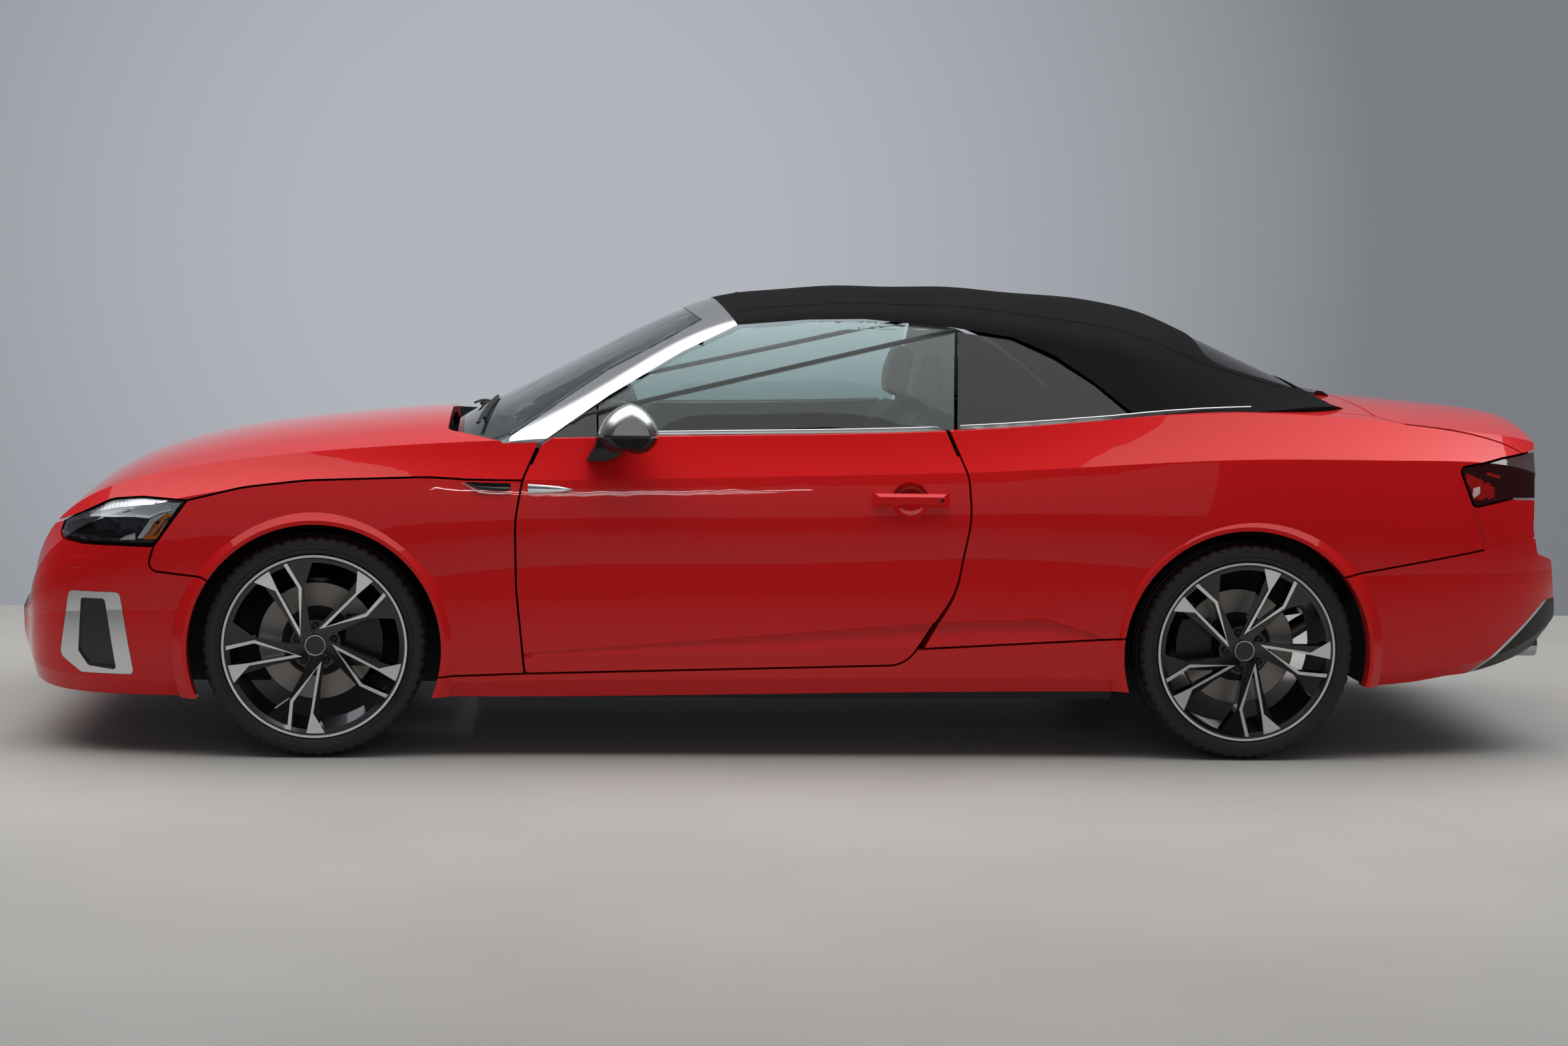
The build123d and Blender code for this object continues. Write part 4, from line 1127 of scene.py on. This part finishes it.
# %% Front seats
for side_name, side in SIDES:
    y = side * 0.37
    nodes = ["front_seats"]
    pad(f"seat_base_{side_name}", nodes, 0.7, QUILT,
        [(-0.235, 0.415, 0.235, 0.075), (0.00, 0.430, 0.240, 0.078),
         (0.225, 0.440, 0.225, 0.072)], y, 1.0, 0.034)
    pad(f"seat_back_{side_name}", nodes, 0.7, QUILT,
        [(-0.245, 0.475, 0.232, 0.060), (-0.305, 0.700, 0.238, 0.058),
         (-0.378, 0.995, 0.190, 0.046)], y, 1.0, 0.036)
    pad(f"headrest_{side_name}", nodes, 0.8, LEATHER,
        [(-0.377, 1.018, 0.105, 0.040), (-0.394, 1.100, 0.120, 0.045),
         (-0.411, 1.182, 0.105, 0.036)], y, 1.0, 0.004, power=2.6)
print("front seats padded")

# %% Rear bench
pad("rear_base", ["rear_seat"], 0.6, QUILT,
    [(-0.865, 0.470, 0.550, 0.060), (-0.70, 0.480, 0.555, 0.066),
     (-0.548, 0.485, 0.545, 0.060)], 0.0, 2.0, 0.024, ring=72)
pad("rear_back", ["rear_seat"], 0.6, QUILT,
    [(-0.905, 0.500, 0.550, 0.045), (-0.955, 0.700, 0.552, 0.045),
     (-1.010, 0.945, 0.530, 0.038)], 0.0, 2.0, 0.022, ring=72)
print("rear bench padded")

# %% [markdown]
# ## Cabin fittings
#
# Door cards with an armrest, a smooth steering wheel and a rear-view mirror fill
# the cabin. They show through the glass, and when a door stands open.

# %% Door cards
for side_name, side in SIDES:
    door = f"door_{side_name}"
    outward = Vector((0.0, side, 0.0))
    door_skin = skin_of(door)
    laid_grid(f"door_card_{side_name}", door_skin, (0.215, side * 0.80, 0.625), outward,
              Vector((0.53, 0, 0)), Vector((0, 0, 0.235)), 0.010, LEATHER, BODY_OF[door], 7.0)
    frames = []
    for x, drop in ((-0.27, 0.0), (-0.25, 0.0), (-0.05, 0.0), (0.20, 0.004), (0.42, 0.030),
                    (0.50, 0.050)):
        size = 0.35 if x in (-0.27, 0.50) else 1.0
        frames.append((Vector((x, side * 0.80, 0.655 + drop)), -outward, Vector((0, 0, 1)), size))
    arm = [(-0.02, -0.030), (0.045, -0.022), (0.055, 0.0), (0.048, 0.014), (-0.02, 0.018)]
    swept(f"armrest_{side_name}", frames, arm, QUILT, BODY_OF[door])
print("door cards ready")

# %% Steering wheel
WHEEL_CENTRE = Vector((0.455, 0.370, 0.870))
TILT = Matrix.Rotation(math.radians(114.0), 4, "Y")
RIM, GRIP = 0.185, 0.0155
HUB = [(0.074, -0.018), (0.076, 0.004), (0.066, 0.018), (0.040, 0.024)]
SPOKES = [(0.0, 0.017), (math.pi, 0.017), (math.pi * 1.5, 0.022)]


def steering_wheel_mesh():
    """A round rim, a low hub and three spokes, turned to face the driver."""
    ring, around, sides = 72, 14, 36
    rim = []
    for i in range(ring):
        a = 2.0 * math.pi * i / ring
        for k in range(around):
            b = 2.0 * math.pi * k / around
            reach = RIM + GRIP * math.cos(b)
            rim.append(Vector((reach * math.cos(a), reach * math.sin(a),
                               GRIP * 1.1 * math.sin(b))))
    hub = []
    for radius, height in HUB:
        for k in range(sides):
            u, v = rounded(2.0 * math.pi * k / sides, 3.0)
            hub.append(Vector((radius * u, radius * v * 0.85, -height)))
    parts = [(rim, grid_faces(ring, around, loop=True)),
             closed((hub, grid_faces(len(HUB), sides)), sides)]
    for direction, half in SPOKES:
        turn = Matrix.Rotation(direction, 4, "Z")
        spoke = [turn @ Vector((reach, width * u, v))
                 for reach, width in ((0.06, half * 1.5), (0.12, half), (0.182, half * 1.2))
                 for u, v in ((-1, -0.007), (1, -0.007), (1, 0.007), (-1, 0.007))]
        parts.append((spoke, grid_faces(3, 4)))
    corners, faces = joined(*parts)
    turned = Matrix.Rotation(math.radians(90.0), 4, "Z")
    return [WHEEL_CENTRE + (TILT @ turned @ c) for c in corners], faces


make_piece("steering_wheel_rim", *steering_wheel_mesh(), LEATHER, "body", crease=50.0)
print("steering wheel ready")

# %% Rear-view mirror
sections = []
for y, size in ((-0.125, 0.3), (-0.118, 0.85), (-0.09, 1.0), (0.09, 1.0), (0.118, 0.85),
                (0.125, 0.3)):
    sections.append((Vector((0.300, y, 1.228)), Vector((1, 0, -0.12)).normalized(),
                     Vector((0.12, 0, 1)).normalized(), size))
outline = [(u * 0.012, v * 0.034) for u, v in (rounded(2 * math.pi * k / 20, 3.0)
                                                for k in range(20))]
swept("rear_view_mirror", sections, outline, MATT, "body")
print("rear-view mirror ready")

# %% [markdown]
# ## Tail lamps
#
# The cover is almost black at its rim. Bright red light units and one pale
# reflector lie behind it, so they are laid on the cover as flat plates.

# %% Tail lamp units
red = Material("red_unit", (0.62, 0.012, 0.012), 0.08, coat_weight=1.0)
red.set("Base Color", red.mix(red.stripes("Z", 1400.0), (0.26, 0.004, 0.004),
                              (0.60, 0.012, 0.010)))
RED_UNIT = red.data
PALE_UNIT = speckled("pale_unit", (0.62, 0.42, 0.38), (0.86, 0.70, 0.66), 0.12, 500.0,
                     coat_weight=1.0)
SIDE_UNIT = [(-1.974, 0.8600, 0.8680), (-1.985, 0.8350, 0.8680), (-2.000, 0.8050, 0.8665),
             (-2.0125, 0.7760, 0.8640), (-2.035, 0.7735, 0.8560), (-2.060, 0.7745, 0.8480),
             (-2.078, 0.7760, 0.8300), (-2.090, 0.7780, 0.7900)]
TOP_UNIT = [(-2.030, 0.8640, 0.8740), (-2.060, 0.8560, 0.8680), (-2.095, 0.8470, 0.8600),
            (-2.120, 0.8480, 0.8520)]
PALE_SHAPE = [(-1.996, 0.8120, 0.8220), (-2.008, 0.7860, 0.8260), (-2.026, 0.7980, 0.8290),
              (-2.041, 0.8190, 0.8290)]
lamp_cover = skin_of("tail_lamps")
for side_name, side in SIDES:
    for name, shape, lift, finish in (("side", SIDE_UNIT, 0.0005, RED_UNIT),
                                      ("top", TOP_UNIT, 0.0005, RED_UNIT),
                                      ("pale", PALE_SHAPE, 0.0009, PALE_UNIT)):
        laid_plate(f"lamp_{name}_unit_{side_name}", lamp_cover, shape, side, lift,
                   finish, "body", steps=6)
print("tail lamp units ready")

# %% [markdown]
# ## Rear seams
#
# The bumper's seam turns up to the tail lamp at the corner of the car. A thin dark
# line marks it, and a flush painted strip fills the gap that runs on behind it.

# %% Rear seams
rear_skin = skin_of("rear_quarters", "rear_bumper")


SEAM_START, SEAM_END = (-2.017, 0.629), (-2.450, 0.700)
FILLER_START_X, FILLER_STEP, FILLER_HALF = -2.046, 0.0078, 0.0065
WIDEST_JUMP = 0.02


def seam_height(x):
    """Height of the gap between quarter and bumper at a place along the car."""
    rise = (SEAM_END[1] - SEAM_START[1]) / (SEAM_START[0] - SEAM_END[0])
    return SEAM_START[1] + (SEAM_START[0] - x) * rise


def filler_frames(side):
    places = []
    for k in range(24):
        x = FILLER_START_X - FILLER_STEP * k
        z = seam_height(x)
        rim = [from_side(rear_skin, x, z + dz, side) for dz in (-FILLER_HALF, FILLER_HALF)]
        if any(p is None for p, _ in rim) or abs(rim[0][0].y - rim[1][0].y) > WIDEST_JUMP:
            break
        places.append(((rim[0][0] + rim[1][0]) * 0.5, (rim[0][1] + rim[1][1]).normalized()))
    frames = []
    for i, (place, normal) in enumerate(places):
        ahead = way([p for p, _ in places], i)
        up = normal.cross(ahead.normalized())
        up *= math.copysign(1.0, up.z)
        frames.append((place, normal, up.normalized(), 1.0))
    return frames


FILLER = [(-0.004, -0.0040), (-0.0003, -0.0042), (0.0003, 0.0), (-0.0003, 0.0042),
          (-0.004, 0.0040)]
LINE = [(-0.0010, -0.0014), (0.0003, -0.0014), (0.0003, 0.0014), (-0.0010, 0.0014)]
SEAM_RISE = [(-2.0400, 0.634), (-2.0425, 0.660), (-2.0360, 0.690), (-2.0240, 0.725),
             (-2.0110, 0.7585)]
for side_name, side in SIDES:
    frames = filler_frames(side)
    if len(frames) > 2:
        swept(f"seam_filler_{side_name}", frames, FILLER, PAINT, "body")
    rise = []
    for x, z in along(SEAM_RISE, 4):
        place, normal = from_side(rear_skin, x, z, side)
        if place is not None:
            rise.append((place, normal, Vector((1.0, 0.0, 0.0)), 1.0))
    swept(f"seam_line_{side_name}", rise, LINE, MATT, "body")
print("rear seam points:", len(frames), len(rise))

# %% [markdown]
# ## Light and floor
#
# A broad panel overhead lights the bonnet and roof, and a second one beside it adds
# light without a mirror image in the paint. A weaker one in front leaves the doors
# darker, and three thin tubes add faint streaks to them.

# %% Light and floor
def softbox(name, place, size, power, target=(0.0, 0.0, 0.6)):
    data = bpy.data.lights.new(name, "AREA")
    data.shape = "RECTANGLE"
    data.size, data.size_y = size
    data.energy = power
    lamp = add_object(name, data)
    lamp.location = place
    aim = Vector(target) - Vector(place)
    lamp.rotation_euler = aim.to_track_quat("-Z", "Y").to_euler()
    return lamp


softbox("overhead", (0.0, -0.2, 5.2), (13.0, 6.5), 430.0)
softbox("front", (1.0, 11.0, 2.7), (10.0, 3.0), 34.0)
fill = softbox("fill", (0.0, 0.2, 5.1), (10.0, 5.0), 210.0)
fill.visible_glossy = False
for height, reach, power in ((3.08, 1.9, 6.0), (2.93, 1.4, 3.4), (2.83, 1.1, 2.0)):
    softbox(f"tube_{height}", (0.35, 8.6, height), (reach, 0.022), power, (0.35, 0.9, 0.72))

# The wall behind the car is grey, with painted light that is brightest straight
# behind the car and fades towards the corners. The rest of the room is dark, so the
# doors mirror little and stay a deep red.
WALL_COLOUR = (0.44, 0.46, 0.50)
ROOM_COLOUR = (0.035, 0.036, 0.040)
ROOM_LIGHT = (0.10, 0.105, 0.112)
world = bpy.data.worlds.new("studio")
bpy.context.scene.world = world
world.use_nodes = True
sky = world.node_tree
rays = sky.nodes.new("ShaderNodeLightPath")
seen = Value(sky, rays.outputs["Is Camera Ray"])
seen = seen.number("MAXIMUM", Value(sky, rays.outputs["Is Glossy Ray"]))
seen = seen.number("MAXIMUM", Value(sky, rays.outputs["Is Transmission Ray"]))
toward = Value(sky, sky.nodes.new("ShaderNodeTexCoord").outputs["Generated"])
behind = (0.0 - toward.part("Y")).number("MAXIMUM", 0.0)
off_centre = toward.part("X") * toward.part("X") + toward.part("Z") * toward.part("Z")
# Painted light fall-off on the wall: brightest behind the car, darker towards the corners.
wall = (behind * 1.04 - off_centre * 8.0).number("MAXIMUM", behind * 0.42)
shown = mixed(sky, wall.number("MINIMUM", 1.0), ROOM_COLOUR, WALL_COLOUR)
shade = mixed(sky, seen, ROOM_LIGHT, shown)
plug(sky, sky.nodes["Background"].inputs["Color"], shade)

FLOOR_BACK = -2.7
FLOOR_REACH = 14.0
floor_mesh = bpy.data.meshes.new("floor")
floor_mesh.from_pydata(
    [(-FLOOR_REACH, FLOOR_BACK, 0), (FLOOR_REACH, FLOOR_BACK, 0),
     (FLOOR_REACH, FLOOR_REACH, 0), (-FLOOR_REACH, FLOOR_REACH, 0)], [], [(0, 1, 2, 3)])
floor = add_object("floor", floor_mesh)
concrete = Material("concrete", (0.42, 0.41, 0.39), 0.55)
mottle = concrete.noise(0.9, 8.0)
concrete.set("Base Color", concrete.mix(mottle, (0.36, 0.35, 0.33), (0.50, 0.49, 0.47)))
floor_mesh.materials.append(concrete.data)
bpy.context.scene.view_settings.view_transform = "Standard"
print("lights:", len(bpy.data.lights))
